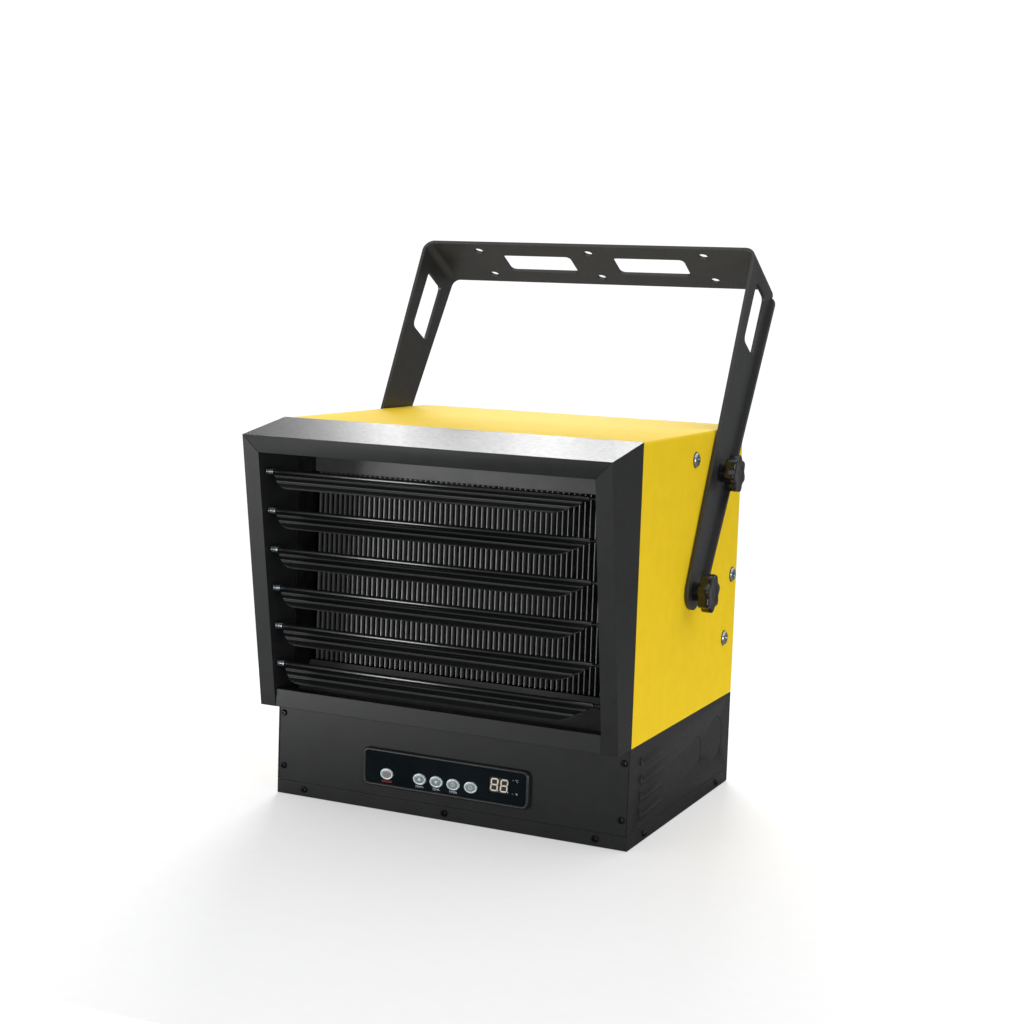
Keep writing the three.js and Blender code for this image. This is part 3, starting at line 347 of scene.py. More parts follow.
class Palette:
    """Every finish of the heater, each made once."""

    def __init__(self) -> None:
        """Builds all materials."""
        self.yellow = PowderCoat(
            "yellow_coat", (0.80, 0.555, 0.016), (0.64, 0.72), 520.0, 0.03, 0.02, 0.05).material()
        self.black = PowderCoat(
            "black_coat", (0.0125, 0.0130, 0.0136), (0.38, 0.45), 950.0, 0.03, 0.09, 0.25).material()
        self.blade = PowderCoat(
            "blade_coat", (0.0065, 0.0069, 0.0073), (0.24, 0.27), 950.0, 0.005, 0.04, 0.9).material()
        self.bracket = PowderCoat(
            "bracket_coat", (0.021, 0.0215, 0.022), (0.36, 0.43), 950.0, 0.03, 0.09, 0.6).material()
        self.galvanised = Spangle("galvanised_sheet", (0.45, 0.46, 0.47)).material()
        self.duct_steel = RolledMetal(
            "duct_steel", (0.035, 0.036, 0.039), (0.075, 0.075, 0.078), (0.40, 0.55)).material()
        # The baffles and the fins are dull coats: bare metal mirrors only the dark duct here.
        self.baffle_steel = PowderCoat(
            "baffle_steel", (0.085, 0.085, 0.088), (0.36, 0.46), 520.0, 0.02, 0.06).material()
        self.fin_metal = PowderCoat(
            "fin_aluminium", (0.10, 0.10, 0.104), (0.34, 0.42), 520.0, 0.02, 0.06, 1.0).material()
        # Painted shade: near-black finish of the thin discs that stand in for the dark slits of the
        # knockouts.
        self.gap = MouldedPlastic("slit_painted_shade", (0.003, 0.003, 0.003), (0.7, 0.8)).material()
        self.heated_steel = RolledMetal(
            "heated_steel", (0.10, 0.085, 0.075), (0.17, 0.16, 0.17), (0.35, 0.5), (0.1, 1.0, 1.0)).material()
        self.fan_metal = RolledMetal(
            "fan_aluminium", (0.38, 0.38, 0.39), (0.50, 0.50, 0.51), (0.34, 0.46)).material()
        self.zinc = RolledMetal(
            "zinc_plate", (0.30, 0.36, 0.40), (0.50, 0.53, 0.53), (0.22, 0.34), (1.0, 1.0, 1.0),
            160.0).material()
        self.black_screw = RolledMetal(
            "blackened_screw", (0.018, 0.018, 0.02), (0.04, 0.04, 0.043), (0.24, 0.36), (1, 1, 1)).material()
        self.motor_paint = MouldedPlastic(
            "motor_enamel", (0.035, 0.037, 0.04), (0.34, 0.46), 700.0, 0.03).material()
        self.knob = MouldedPlastic("knob_plastic", (0.006, 0.006, 0.0065), (0.16, 0.24)).material()
        self.rim = MouldedPlastic("rim_plastic", (0.014, 0.014, 0.015), (0.34, 0.44)).material()
        self.phenolic = MouldedPlastic("switchgear_plastic", (0.028, 0.027, 0.026), (0.45, 0.6)).material()
        self.nylon = MouldedPlastic("thermostat_plastic", (0.50, 0.50, 0.48), (0.4, 0.5)).material()
        self.lens = MouldedPlastic("lamp_lens", (0.030, 0.033, 0.034), (0.2, 0.3)).material()
        self.mask = MouldedPlastic("solder_mask", (0.012, 0.10, 0.045), (0.22, 0.34), 500.0, 0.02).material()
        self.film = GlossFilm("gloss_film", (0.0045, 0.0072, 0.0088)).material()
        self.window = GlossFilm("display_window", (0.030, 0.034, 0.034), (0.20, 0.30)).material()
        self.silver = SilverLacquer("button_silver", (0.56, 0.62, 0.64)).material()
        self.sage = SilverLacquer("button_face", (0.19, 0.24, 0.235)).material()
        self.pale_ink = PrintInk("pale_ink", (0.62, 0.67, 0.68)).material()
        self.red_ink = PrintInk("red_ink", (0.34, 0.020, 0.028)).material()
        self.white_ink = PrintInk("white_ink", (0.40, 0.44, 0.50)).material()
        # Painted light: the display digits get a faint glow of their own, though the display is not lit.
        self.segment = PrintInk("display_segment", (0.60, 0.53, 0.43), 0.10).material()
        self.floor = PowderCoat("pale_floor", (0.88, 0.88, 0.885), (0.65, 0.75), 300.0, 0.02, 0.01).material()


# ------------------------------------------------------------------ shapes


def ring(radius: float | Callable[[float], float], height: float, angles: Sequence[float]) -> Ring:
    """Closed ring of points about local Z.

    Args:
        radius: one radius, or a function of the angle.
        height: place along local Z.
        angles: angle of each point, in radians.

    Returns:
        The ring's points.
    """
    at = radius if callable(radius) else lambda angle: radius
    return [Vector((at(a) * math.cos(a), at(a) * math.sin(a), height)) for a in angles]


def even(count: int) -> list[float]:
    """Angles of a full turn in equal steps."""
    return [math.tau * step / count for step in range(count)]


def oblong(width: float, height: float, corner: float, level: float = 0.0, steps: int = 6,
           centre: tuple[float, float] = (0.0, 0.0)) -> Ring:
    """Rectangle with round corners, drawn anticlockwise.

    Args:
        width, height: outer size.
        corner: corner radius.
        level: place along local Z.
        steps: straight pieces in each corner.
        centre: middle of the shape.

    Returns:
        The outline's points.
    """
    points = []
    for turn, (sx, sy) in enumerate(((1, 1), (-1, 1), (-1, -1), (1, -1))):
        pole = Vector((centre[0] + sx * (width / 2 - corner), centre[1] + sy * (height / 2 - corner), level))
        for step in range(steps + 1):
            angle = math.pi / 2 * (turn + step / steps)
            points.append(pole + Vector((math.cos(angle), math.sin(angle), 0)) * corner)
    return points


def set_corners(face: BMFace, places: Ring) -> None:
    """Moves the corners of a face to the given places."""
    for vert, place in zip(face.verts, places):
        vert.co = place


def open_edges(bm: BMesh) -> list[BMEdge]:
    """Edges that have a face on one side only."""
    return [edge for edge in bm.edges if edge.is_boundary]


def whole(bm: BMesh) -> list[BMVert | BMEdge | BMFace]:
    """Every vertex, edge and face of a mesh."""
    return bm.verts[:] + bm.edges[:] + bm.faces[:]


def in_order(bm: BMesh) -> BMesh:
    """Sorts a mesh by place, because a fill leaves it in another order at each run.

    Args:
        bm: the mesh.

    Returns:
        The same mesh, which is then cut and merged in the same way every time.
    """
    def corners(item: BMVert | BMEdge | BMFace) -> list[tuple[float, ...]]:
        """Places of an element's vertices, lowest first."""
        return sorted(tuple(vert.co) for vert in getattr(item, "verts", (item,)))

    for items in (bm.verts, bm.edges, bm.faces):
        ranks = {item: rank for rank, item in enumerate(sorted(items, key=corners))}
        items.sort(key=ranks.get)
    return bm


def outward(bm: BMesh) -> BMesh:
    """Turns the faces of a mesh outwards and gives it back."""
    bmesh.ops.recalc_face_normals(bm, faces=bm.faces)
    return bm


def loft(rings: Sequence[Ring], endless: bool = False) -> BMesh:
    """Solid drawn through rings of equal count.

    Args:
        rings: the sections, in order.
        endless: joins the last section to the first, in place of two end caps.

    Returns:
        The closed solid.
    """
    bm = bmesh.new()
    bmesh.ops.create_circle(bm, cap_ends=True, segments=len(rings[0]), radius=1.0)
    bm.faces.ensure_lookup_table()
    face = bm.faces[0]
    set_corners(face, rings[0])
    for places in rings[1:]:
        face = bmesh.ops.extrude_discrete_faces(bm, faces=[face])["faces"][0]
        set_corners(face, places)
    if endless:
        bmesh.ops.delete(bm, geom=[face], context="FACES_ONLY")
        bmesh.ops.bridge_loops(bm, edges=open_edges(bm))
    else:
        bmesh.ops.holes_fill(bm, edges=open_edges(bm), sides=0)
    return outward(bm)


def turned(profile: Sequence[tuple[float, float]], steps: int, endless: bool = False) -> BMesh:
    """Solid of revolution about local Z.

    Args:
        profile: points as (radius, height).
        steps: faces round a full turn.
        endless: closes the profile on itself, as for a ring.

    Returns:
        The closed solid.
    """
    bm = bmesh.new()
    verts = [bm.verts.new((radius, 0, height)) for radius, height in profile]
    pairs = list(zip(verts, verts[1:])) + ([(verts[-1], verts[0])] if endless else [])
    edges = [bm.edges.new(pair) for pair in pairs]
    bmesh.ops.spin(bm, geom=verts + edges, cent=(0, 0, 0), axis=(0, 0, 1), angle=math.tau, steps=steps,
                   use_merge=True)
    bmesh.ops.remove_doubles(bm, verts=bm.verts, dist=1e-4)
    return outward(bm)


def pierced(outer: Ring, holes: Sequence[Ring], thickness: float) -> BMesh:
    """Flat sheet with holes, its face at level 0 and its body below.

    Args:
        outer: outline of the sheet.
        holes: outlines of the holes.
        thickness: of the sheet.

    Returns:
        The closed solid.
    """
    bm = bmesh.new()
    for places in (outer, *holes):
        made = bmesh.ops.create_circle(bm, cap_ends=False, segments=len(places), radius=1.0)
        for vert, place in zip(made["verts"], places):
            vert.co = place
    bmesh.ops.triangle_fill(bm, use_beauty=True, use_dissolve=False, edges=bm.edges[:])
    below = bmesh.ops.extrude_face_region(bm, geom=bm.faces[:])["geom"]
    bmesh.ops.translate(bm, vec=(0, 0, -thickness), verts=[v for v in below if isinstance(v, BMVert)])
    return outward(bm)


def rounded_bar(x: tuple[float, float], y: tuple[float, float], z: tuple[float, float],
                edge: float) -> BMesh:
    """Bar between two corners with all its edges rounded.

    Args:
        x, y, z: low and high end along each axis.
        edge: radius of the edges.

    Returns:
        The closed solid.
    """
    bm = bmesh.new()
    bmesh.ops.create_cube(bm, size=1.0)
    spans = [high - low for low, high in (x, y, z)]
    bmesh.ops.scale(bm, vec=spans, verts=bm.verts)
    bmesh.ops.translate(bm, vec=[sum(ends) / 2 for ends in (x, y, z)], verts=bm.verts)
    if edge:
        bmesh.ops.bevel(bm, geom=bm.edges[:], offset=edge, offset_type="OFFSET", segments=2, profile=0.5,
                        affect="EDGES", material=-1)
    return bm


def wire_between(start: Sequence[float], end: Sequence[float], radius: float, sides: int = 8) -> BMesh:
    """Straight wire between two points.

    Args:
        start, end: middles of the two ends.
        radius: of the wire.
        sides: faces round it.

    Returns:
        The closed solid.
    """
    run = Vector(end) - Vector(start)
    bm = loft([ring(radius, 0.0, even(sides)), ring(radius, run.length, even(sides))])
    turn = Vector((0, 0, 1)).rotation_difference(run).to_matrix().to_4x4()
    return moved(bm, Matrix.Translation(start) @ turn)


def moved(bm: BMesh, place: Matrix) -> BMesh:
    """Puts a whole mesh through a matrix and gives it back."""
    bmesh.ops.transform(bm, matrix=place, verts=bm.verts)
    return bm


def together(parts: Sequence[BMesh]) -> BMesh:
    """Gathers several meshes into the first one.

    Args:
        parts: the meshes; all but the first are freed.

    Returns:
        The first mesh with all faces.
    """
    first = parts[0]
    for part in parts[1:]:
        carrier = bpy.data.meshes.new("carrier")
        part.to_mesh(carrier)
        part.free()
        first.from_mesh(carrier)
        bpy.data.meshes.remove(carrier)
    return first


def copies(bm: BMesh, places: Sequence[Matrix]) -> BMesh:
    """Repeats one mesh at several places.

    Args:
        bm: the mesh, which is used up.
        places: where each repeat goes.

    Returns:
        All repeats in one mesh.
    """
    return together([moved(bm.copy(), place) for place in places])


def sheet_copy(*nodes: str) -> BMesh:
    """Merged copy of CAD nodes, in mm, with flat faces joined again.

    Args:
        nodes: names of the nodes.

    Returns:
        The copy, ready for bevelled edges.
    """
    bm = bmesh.new()
    for node in nodes:
        bm.from_mesh(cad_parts[node].data)
    bmesh.ops.scale(bm, vec=(1 / MM,) * 3, verts=bm.verts)
    bmesh.ops.remove_doubles(bm, verts=bm.verts, dist=0.005)
    bmesh.ops.dissolve_limit(bm, angle_limit=math.radians(1.0), use_dissolve_boundaries=False,
                             verts=bm.verts[:], edges=bm.edges[:])
    return bm


def mirrored_x(bm: BMesh) -> BMesh:
    """Turns a mesh into its mirror image across the middle of the heater."""
    bmesh.ops.scale(bm, vec=(-1, 1, 1), verts=bm.verts)
    bmesh.ops.reverse_faces(bm, faces=bm.faces)
    return bm


def settle(bm: BMesh, name: str, finish: bpy.types.Material, body: str = "chassis",
           replaces: Sequence[str] = (), edge: float = 0.0, sharp: float = 35.0) -> bpy.types.Object:
    """Turns a mesh drawn in mm into a finished piece of the heater.

    Args:
        bm: the mesh, which is used up.
        name: name of the piece.
        finish: its material.
        body: moving body that it rides on.
        replaces: CAD nodes that it stands for.
        edge: radius of a live bevel on its sharp edges.
        sharp: angle above which an edge stays crisp, in degrees.

    Returns:
        The piece.
    """
    bmesh.ops.scale(bm, vec=(MM, MM, MM), verts=bm.verts)
    mesh = bpy.data.meshes.new(name)
    bm.to_mesh(mesh)
    bm.free()
    mesh.materials.append(finish)
    mesh.shade_smooth()
    mesh.set_sharp_from_angle(angle=math.radians(sharp))
    piece = bpy.data.objects.new(name, mesh)
    bpy.context.scene.collection.objects.link(piece)
    if edge:
        bevel = piece.modifiers.new("edge", "BEVEL")
        bevel.width = edge * MM
        bevel.segments = 2
        bevel.limit_method = "ANGLE"
        bevel.angle_limit = math.radians(sharp)
        bevel.harden_normals = True
    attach(piece, body)
    if replaces:
        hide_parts(*replaces)
    LOG.info("  %s: %d faces", name, len(mesh.polygons))
    return piece


def rounded_copy(node: str, name: str, finish: bpy.types.Material, edge: float) -> None:
    """Puts a copy with rounded edges in the place of a CAD node.

    Args:
        node: the CAD node.
        name, finish, edge: as settle takes them.
    """
    settle(sheet_copy(node), name, finish, replaces=[node], edge=edge)


def dress(node: str, finish: bpy.types.Material) -> None:
    """Gives a CAD node that stays in view its finish."""
    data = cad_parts[node].data
    data.materials.clear()
    data.materials.append(finish)
    LOG.info("  %s: kept", node)


def cross_screw(radius: float, height: float, arm: float = 0.52, slim: float = 0.14,
                depth: float = 1.3) -> BMesh:
    """Pan head with a cross recess, facing local Z.

    Args:
        radius, height: of the head.
        arm, slim: half length and half width of the cross, as shares of the radius.
        depth: of the recess.

    Returns:
        The head, a closed solid that reaches a little below level 0.
    """
    corner = math.atan2(slim, arm)
    quarter = [0.0, corner, (corner + math.pi / 4) / 2, math.pi / 4]
    quarter += [math.pi / 2 - angle for angle in (quarter[2], quarter[1])]
    angles = [turn * math.pi / 2 + angle for turn in range(4) for angle in quarter]

    def cross(angle: float) -> float:
        """Distance from the middle to the edge of a cross of unit head radius."""
        c, s = abs(math.cos(angle)) + 1e-9, abs(math.sin(angle)) + 1e-9
        return max(min(arm / c, slim / s), min(slim / c, arm / s))

    shapes = [(1.0, -0.3), (1.0, 0.25 * height), (0.97, 0.5 * height), (0.86, 0.8 * height), (0.68, height)]
    rings = [ring(share * radius, level, angles) for share, level in shapes]
    rings.append(ring(lambda angle: cross(angle) * radius, height, angles))
    rings.append(ring(lambda angle: cross(angle) * radius * 0.72, height - depth, angles))
    return loft(rings)


# ------------------------------------------------------------------ sub-assemblies


@dataclass
class Cabinet:
    """Yellow wrap, rear cover with its wire guard, and the deck inside."""

    finishes: Palette
    fan_z: float = 222.8
    guard_y: float = 140.2
    guard_outer: float = 118.5
    guard_inner: float = 24.0
    guard_rings: int = 13
    guard_spokes: int = 8
    wire: float = 0.95
    cover_y: float = 139.2
    diagonal: float = 0.707

    def guard(self) -> BMesh:
        """Wire guard: rings, a middle plate and crossing spokes.

        Returns:
            The guard as one mesh.
        """
        pitch = (self.guard_outer - self.guard_inner) / (self.guard_rings - 1)
        parts = []
        for step in range(self.guard_rings):
            radius = self.guard_inner + step * pitch
            section = [(radius + self.wire * math.cos(a), self.wire * math.sin(a)) for a in even(8)]
            parts.append(turned(section, 72, endless=True))
        plate = [(0, -0.9), (23.2, -0.9), (23.7, -0.4), (23.2, 0.6), (16, 1.3), (0, 1.6)]
        parts.append(turned(plate, 40))
        lift = 2 * self.wire
        for angle in even(self.guard_spokes):
            along = Vector((math.cos(angle), math.sin(angle), 0))
            start, end = along * 21 + Vector((0, 0, lift)), along * self.guard_outer + Vector((0, 0, lift))
            parts.append(wire_between(start, end, self.wire))
        return moved(together(parts), Facing.REAR.at(0, self.guard_y, self.fan_z))

    def screws(self) -> BMesh:
        """Black screws of the rear cover, and those that clamp the guard."""
        spots = [(x, z, x + z) for x in (-174, 174) for z in (103, 232, 361)]
        spots += [(0, z, z) for z in (361, 102)]
        for side, level in ((1, 1), (-1, 1), (-1, -1), (1, -1)):
            across, up = self.diagonal * side, self.diagonal * level
            spots.append((self.guard_outer * across, self.fan_z + self.guard_outer * up, across))
        places = [Facing.REAR.at(x, self.cover_y, z) @ Matrix.Rotation(turn, 4, "Z") for x, z, turn in spots]
        return copies(cross_screw(3.6, 2.1), places)

    def build(self) -> None:
        """Builds and dresses the cabinet."""
        tones = self.finishes
        rounded_copy("cabinet_wrap", "yellow_wrap", tones.yellow, 0.4)
        rounded_copy("rear_panel", "rear_cover", tones.black, 0.3)
        settle(self.guard(), "wire_guard", tones.black, replaces=["fan_guard"])
        settle(self.screws(), "rear_screws", tones.black_screw)
        dress("mid_deck", tones.galvanised)


@dataclass
class Hood:
    """Sloping black hood with mitred front frame, and the sill between its legs."""

    finishes: Palette
    corner: tuple[float, float, float] = (185.0, -214.4, 357.4)
    opening: tuple[float, float] = (168.8, 341.4)
    lean: float = 8.98
    seam: float = 0.45
    seam_depth: float = 0.45

    def mitre(self, bm: BMesh, side: Side) -> None:
        """Presses the joint line of the front frame into its face.

        Args:
            bm: the hood.
            side: which top corner.
        """
        lean = math.radians(self.lean)
        facing = Vector((0, -math.cos(lean), -math.sin(lean)))
        start = Vector((side.value * self.corner[0], *self.corner[1:]))
        run = Vector((side.value * (self.opening[0] - self.corner[0]), 0, self.opening[1] - self.corner[2]))
        run.y = (run.z * facing.z) / -facing.y
        across = run.cross(facing).normalized()
        for shift in (-self.seam / 2, self.seam / 2):
            faces = [f for f in bm.faces if f.normal.dot(facing) > 0.97]
            edges = list({e for f in faces for e in f.edges})
            verts = list({v for f in faces for v in f.verts})
            bmesh.ops.bisect_plane(bm, geom=faces + edges + verts, dist=1e-4,
                                   plane_co=start + across * shift, plane_no=across)
        strip = [f for f in bm.faces if f.normal.dot(facing) > 0.97
                 and abs((f.calc_center_median() - start).dot(across)) < self.seam / 2]
        bmesh.ops.inset_region(bm, faces=strip, thickness=0.06, depth=-self.seam_depth)

    def build(self) -> None:
        """Builds and dresses the hood."""
        hood = sheet_copy("front_hood")
        for side in Side:
            self.mitre(hood, side)
        settle(hood, "hood_shell", self.finishes.black, replaces=["front_hood"], edge=0.5)
        rounded_copy("lower_sill", "front_sill", self.finishes.black, 0.5)


@dataclass
class Louvers:
    """Six tilting blades with pressed ribs, rolled edge, rounded ends, pins and springs."""

    finishes: Palette
    rows: int = 6
    first_axis: tuple[float, float] = (-197.263, 323.0)
    step: tuple[float, float] = (5.34, -37.3)
    tilt: float = 26.5
    half: float = 159.0
    reach: float = 26.35
    sheet: float = 1.0
    tube: float = 2.4
    taper: float = 29.0
    tip_power: float = 0.85
    rib_places: tuple[float, float] = (7.8, 16.8)
    rib_height: float = 1.15
    rib_half: float = 1.7
    pin: float = 1.5
    pin_end: float = 171.5
    spring_span: tuple[float, float] = (-168.5, -159.3)
    spring_radius: float = 3.0
    spring_wire: float = 0.5
    spring_turns: float = 4.5

    def depths(self) -> list[float]:
        """Distances from the axis at which the sheet's section has a point."""
        shares = (-1.0, -0.75, -0.5, -0.25, 0.0, 0.25, 0.5, 0.75, 1.0)
        ribs = [place + share * self.rib_half for place in self.rib_places for share in shares]
        return [1.2, 3.5, *ribs[:9], 12.3, *ribs[9:], 20.0, 22.0, 24.0, 25.4, self.reach]

    def height(self, depth: float) -> float:
        """Height of the pressed sheet at a distance from the axis."""
        shares = [abs(depth - place) / self.rib_half for place in self.rib_places]
        rib = self.rib_height * math.cos(math.pi / 2 * min(*shares, 1.0)) ** 1.3
        return rib - 0.25 * max(0.0, (depth - 25.0) / (self.reach - 25.0))

    def reach_at(self, x: float) -> float:
        """Depth of the blade at a place along it: each end is rounded off.

        Args:
            x: place along the blade.

        Returns:
            Distance from the axis to the blade's edge.
        """
        share = min((self.half - abs(x)) / self.taper, 1.0)
        return self.reach * math.sin(math.pi / 2 * share ** self.tip_power)

    def blade(self) -> BMesh:
        """Pressed sheet of one blade, drawn with local -Y forward.

        Returns:
            The sheet with its thickness.
        """
        steps = 22
        ends = [self.half - self.taper * (1 - k / steps) ** 1.5 for k in range(steps)] + [self.half - 0.05]
        stations = [-x for x in reversed(ends)] + [-65.0, 0.0, 65.0] + ends
        depths = self.depths()
        bm = bmesh.new()
        bmesh.ops.create_grid(bm, x_segments=len(stations) - 1, y_segments=len(depths) - 1, size=0.5)
        for vert in bm.verts:
            x = stations[round((vert.co.x + 0.5) * (len(stations) - 1))]
            depth = depths[round((vert.co.y + 0.5) * (len(depths) - 1))]
            depth = min(depth, self.reach_at(x))
            vert.co = Vector((x, -depth, self.height(depth)))
        bmesh.ops.remove_doubles(bm, verts=bm.verts, dist=0.01)
        bmesh.ops.solidify(outward(bm), geom=bm.faces[:], thickness=self.sheet)
        top = max(vert.co.z for vert in bm.verts)
        bmesh.ops.translate(bm, vec=(0, 0, self.sheet / 2 + self.rib_height - top), verts=bm.verts)
        return bm

    def rolled_edge(self) -> BMesh:
        """Hollow tube rolled along the rear edge of a blade."""
        bore, outer, end = self.pin + 0.05, self.tube, self.half
        wall = [(bore, -end), (outer - 0.2, -end), (outer, -end + 0.2)]
        wall += [(radius, -x) for radius, x in reversed(wall)]
        return moved(turned(wall, 20, endless=True), Matrix.Rotation(math.pi / 2, 4, "Y"))

    def pin_rod(self) -> BMesh:
        """Steel pin through the rolled edge, with a collar near its right end."""
        r, end = self.pin, self.pin_end
        wall = [(0, -end), (r - 0.3, -end), (r, -end + 0.3)]
        rod = turned(wall + [(radius, -x) for radius, x in reversed(wall)], 16)
        collar = turned([(r, 164.2), (2.7, 164.2), (2.9, 164.4), (2.9, 165.6), (2.7, 165.8), (r, 165.8)],
                        16, True)
        return moved(together([rod, collar]), Matrix.Rotation(math.pi / 2, 4, "Y"))

    def spring(self) -> BMesh:
        """Open wound compression spring on the left pin.

        Returns:
            The spring as one closed wire.
        """
        start, end = self.spring_span
        first, steps = start + 2 * self.spring_wire, round(self.spring_turns * 16)
        climb = (end - 2 * self.spring_wire - first) / steps
        bm = bmesh.new()
        bmesh.ops.create_circle(bm, cap_ends=True, segments=7, radius=self.spring_wire)
        bmesh.ops.translate(bm, vec=(first, self.spring_radius, 0), verts=bm.verts)
        bmesh.ops.spin(bm, geom=whole(bm), cent=(0, 0, 0), axis=(1, 0, 0), dvec=(climb, 0, 0),
                       angle=math.tau * self.spring_turns, steps=steps)
        return outward(bm)

    def build(self) -> None:
        """Builds and dresses all rows."""
        tones = self.finishes
        for row in range(self.rows):
            y, z = (first + row * step for first, step in zip(self.first_axis, self.step))
            place = Matrix.Translation((0, y, z)) @ Matrix.Rotation(math.radians(self.tilt), 4, "X")
            count, body = row + 1, f"louver_{row + 1}_body"
            blade = together([self.blade(), self.rolled_edge()])
            settle(moved(blade, place), f"louver_blade_{count}", tones.blade, body,
                   [f"louver_{count}"], sharp=50.0)
            settle(moved(self.pin_rod(), place), f"louver_pin_{count}", tones.black_screw, body)
            settle(moved(self.spring(), place), f"pin_spring_{count}", tones.zinc, body,
                   [f"louver_spring_{count}"], sharp=80.0)


@dataclass
class HeatingUnit:
    """Fin stack with its heating tubes, baffles and duct."""

    finishes: Palette
    fins: int = 60
    pitch: float = 5.5
    plate: float = 1.2
    strip: float = 12.0
    band_half: float = 11.0
    tubes: tuple[int, ...] = (1, 2, 3)

    def __post_init__(self) -> None:
        """Reads the room of the stack from the frame."""
        self.front, self.back = span("fin_block", 1)
        self.low, self.high = span("fin_block", 2)
        self.end = span("fin_block", 0)[1]
        self.bands = [middle(f"heating_tube_{band}", 2) for band in self.tubes]

    def stack(self) -> BMesh:
        """Upright fins with folded front edges.

        Returns:
            All fins in one mesh.
        """
        half, fold, nose = 0.25, 0.75, 2.4
        front, back = self.front, self.back - self.plate
        outline = [(half, back), (half, front + nose), (fold, front + nose - 0.3), (fold, front + 0.5),
                   (fold * 0.6, front), (-fold * 0.6, front), (-half, front + 0.5), (-half, back)]
        rings = [[Vector((x, y, z)) for x, y in outline] for z in (self.low, self.high)]
        first = -(self.fins - 1) * self.pitch / 2
        places = [Matrix.Translation((first + k * self.pitch, 0, 0)) for k in range(self.fins)]
        return copies(loft(rings), places)

    def carrier(self) -> BMesh:
        """Plate frame behind the fins: two end strips and three bands."""
        depth = (self.back - self.plate, self.back)
        parts = [rounded_bar((-self.end, self.end), depth, (z - self.band_half, z + self.band_half), 0.25)
                 for z in self.bands]
        for side in Side:
            x = sorted((side.value * self.end, side.value * (self.end - self.strip)))
            parts.append(rounded_bar(tuple(x), depth, (self.low, self.high), 0.25))
        return together(parts)

    def build(self) -> None:
        """Builds and dresses the heating unit."""
        tones = self.finishes
        stack = together([self.stack(), self.carrier()])
        settle(stack, "fin_stack", tones.fin_metal, replaces=["fin_block"], sharp=30.0)
        rounded_copy("top_baffle", "upper_baffle", tones.baffle_steel, 0.3)
        rounded_copy("lower_baffle", "sloping_baffle", tones.baffle_steel, 0.3)
        rounded_copy("air_duct", "duct_liner", tones.duct_steel, 0.25)
        for tube in self.tubes:
            dress(f"heating_tube_{tube}", tones.heated_steel)
        rounded_copy("thermal_cutout", "heat_cutout", tones.nylon, 0.6)


@dataclass
class FanUnit:
    """Fan wheel with cambered blades, motor, carrying strap and shroud."""

    finishes: Palette
    fan_y: float = 31.0
    fan_z: float = 222.8
    hub: float = 24.0
    hub_half: float = 12.0
    tip: float = 108.0
    blades: int = 5
    root_half: float = 15.0
    tip_half: float = 31.0
    pitch_root: float = 38.0
    pitch_tip: float = 24.0
    camber: float = 3.0
    sheet: float = 1.4
    motor_y: tuple[float, float] = (66.4, 134.4)

    def wheel_blade(self) -> BMesh:
        """One cambered and twisted blade about local Z.

        Returns:
            The blade, reaching along local X.
        """
        bm = bmesh.new()
        bmesh.ops.create_grid(bm, x_segments=12, y_segments=8, size=1.0)
        root = self.hub * 0.88
        for vert in bm.verts:
            out, chord = (vert.co.x + 1) / 2, vert.co.y
            radius = root + (self.tip - root) * out
            half = self.root_half + (self.tip_half - self.root_half) * math.sin(out * math.pi / 2)
            pitch = math.radians(self.pitch_root + (self.pitch_tip - self.pitch_root) * out)
            turn = chord * half * math.cos(pitch) / radius * (0.75 + 0.25 * out)
            level = chord * half * math.sin(pitch) * 0.8 + self.camber * (1 - chord * chord)
            vert.co = Vector((radius * math.cos(turn), radius * math.sin(turn), level - self.camber / 2))
        bmesh.ops.solidify(outward(bm), geom=bm.faces[:], thickness=self.sheet)
        return outward(bm)

    def wheel(self) -> BMesh:
        """Whole wheel: hub with a rounded nose and its blades."""
        h = self.hub_half
        hub = turned([(4.3, -h), (20, -h), (23.4, -h + 1), (24, -h + 3), (24, h - 5), (22.6, h - 2),
                      (19, h - 0.4), (15, h), (9, h), (8.4, h - 1), (4.3, h - 1)], 48, endless=True)
        blades = copies(self.wheel_blade(), [Matrix.Rotation(a, 4, "Z") for a in even(self.blades)])
        return moved(together([hub, blades]), Facing.FRONT.at(0, self.fan_y, self.fan_z))

    def motor(self) -> BMesh:
        """Motor can with rolled seams, nose and four bolt heads."""
        length = self.motor_y[1] - self.motor_y[0]
        can = turned([(4.3, -2.4), (11, -2.4), (12, -1.6), (12, 0), (33, 0), (37, 0.9), (40.2, 3),
                      (41.6, 5.6), (42, 6.4), (42, 12), (41.1, 12.7), (41.1, length - 15),
                      (42, length - 14.3),
                      (42, length - 8), (41, length - 4), (38, length - 1), (34, length), (0, length),
                      (0, length - 3), (4.3, length - 46)], 64)
        bolt = turned([(0, -1), (3.4, -1), (3.4, 1.8), (2.8, 2.4), (0, 2.6)], 6)
        bolts = copies(bolt, [Matrix.Rotation(math.pi / 4 + a, 4, "Z") @ Matrix.Translation((32, 0, 0.6))
                              @ Matrix.Rotation(math.pi, 4, "X") for a in even(4)])
        return moved(together([can, bolts]), Facing.REAR.at(0, self.motor_y[0], self.fan_z))

    def build(self) -> None:
        """Builds and dresses the fan unit."""
        tones = self.finishes
        settle(self.wheel(), "fan_wheel", tones.fan_metal, "fan", ["fan_blade"])
        settle(self.motor(), "motor_can", tones.motor_paint, replaces=["motor"])
        rounded_copy("motor_mount", "motor_strap", tones.galvanised, 0.5)
        rounded_copy("fan_shroud", "fan_ring", tones.duct_steel, 0.3)
        dress("motor_shaft", tones.zinc)


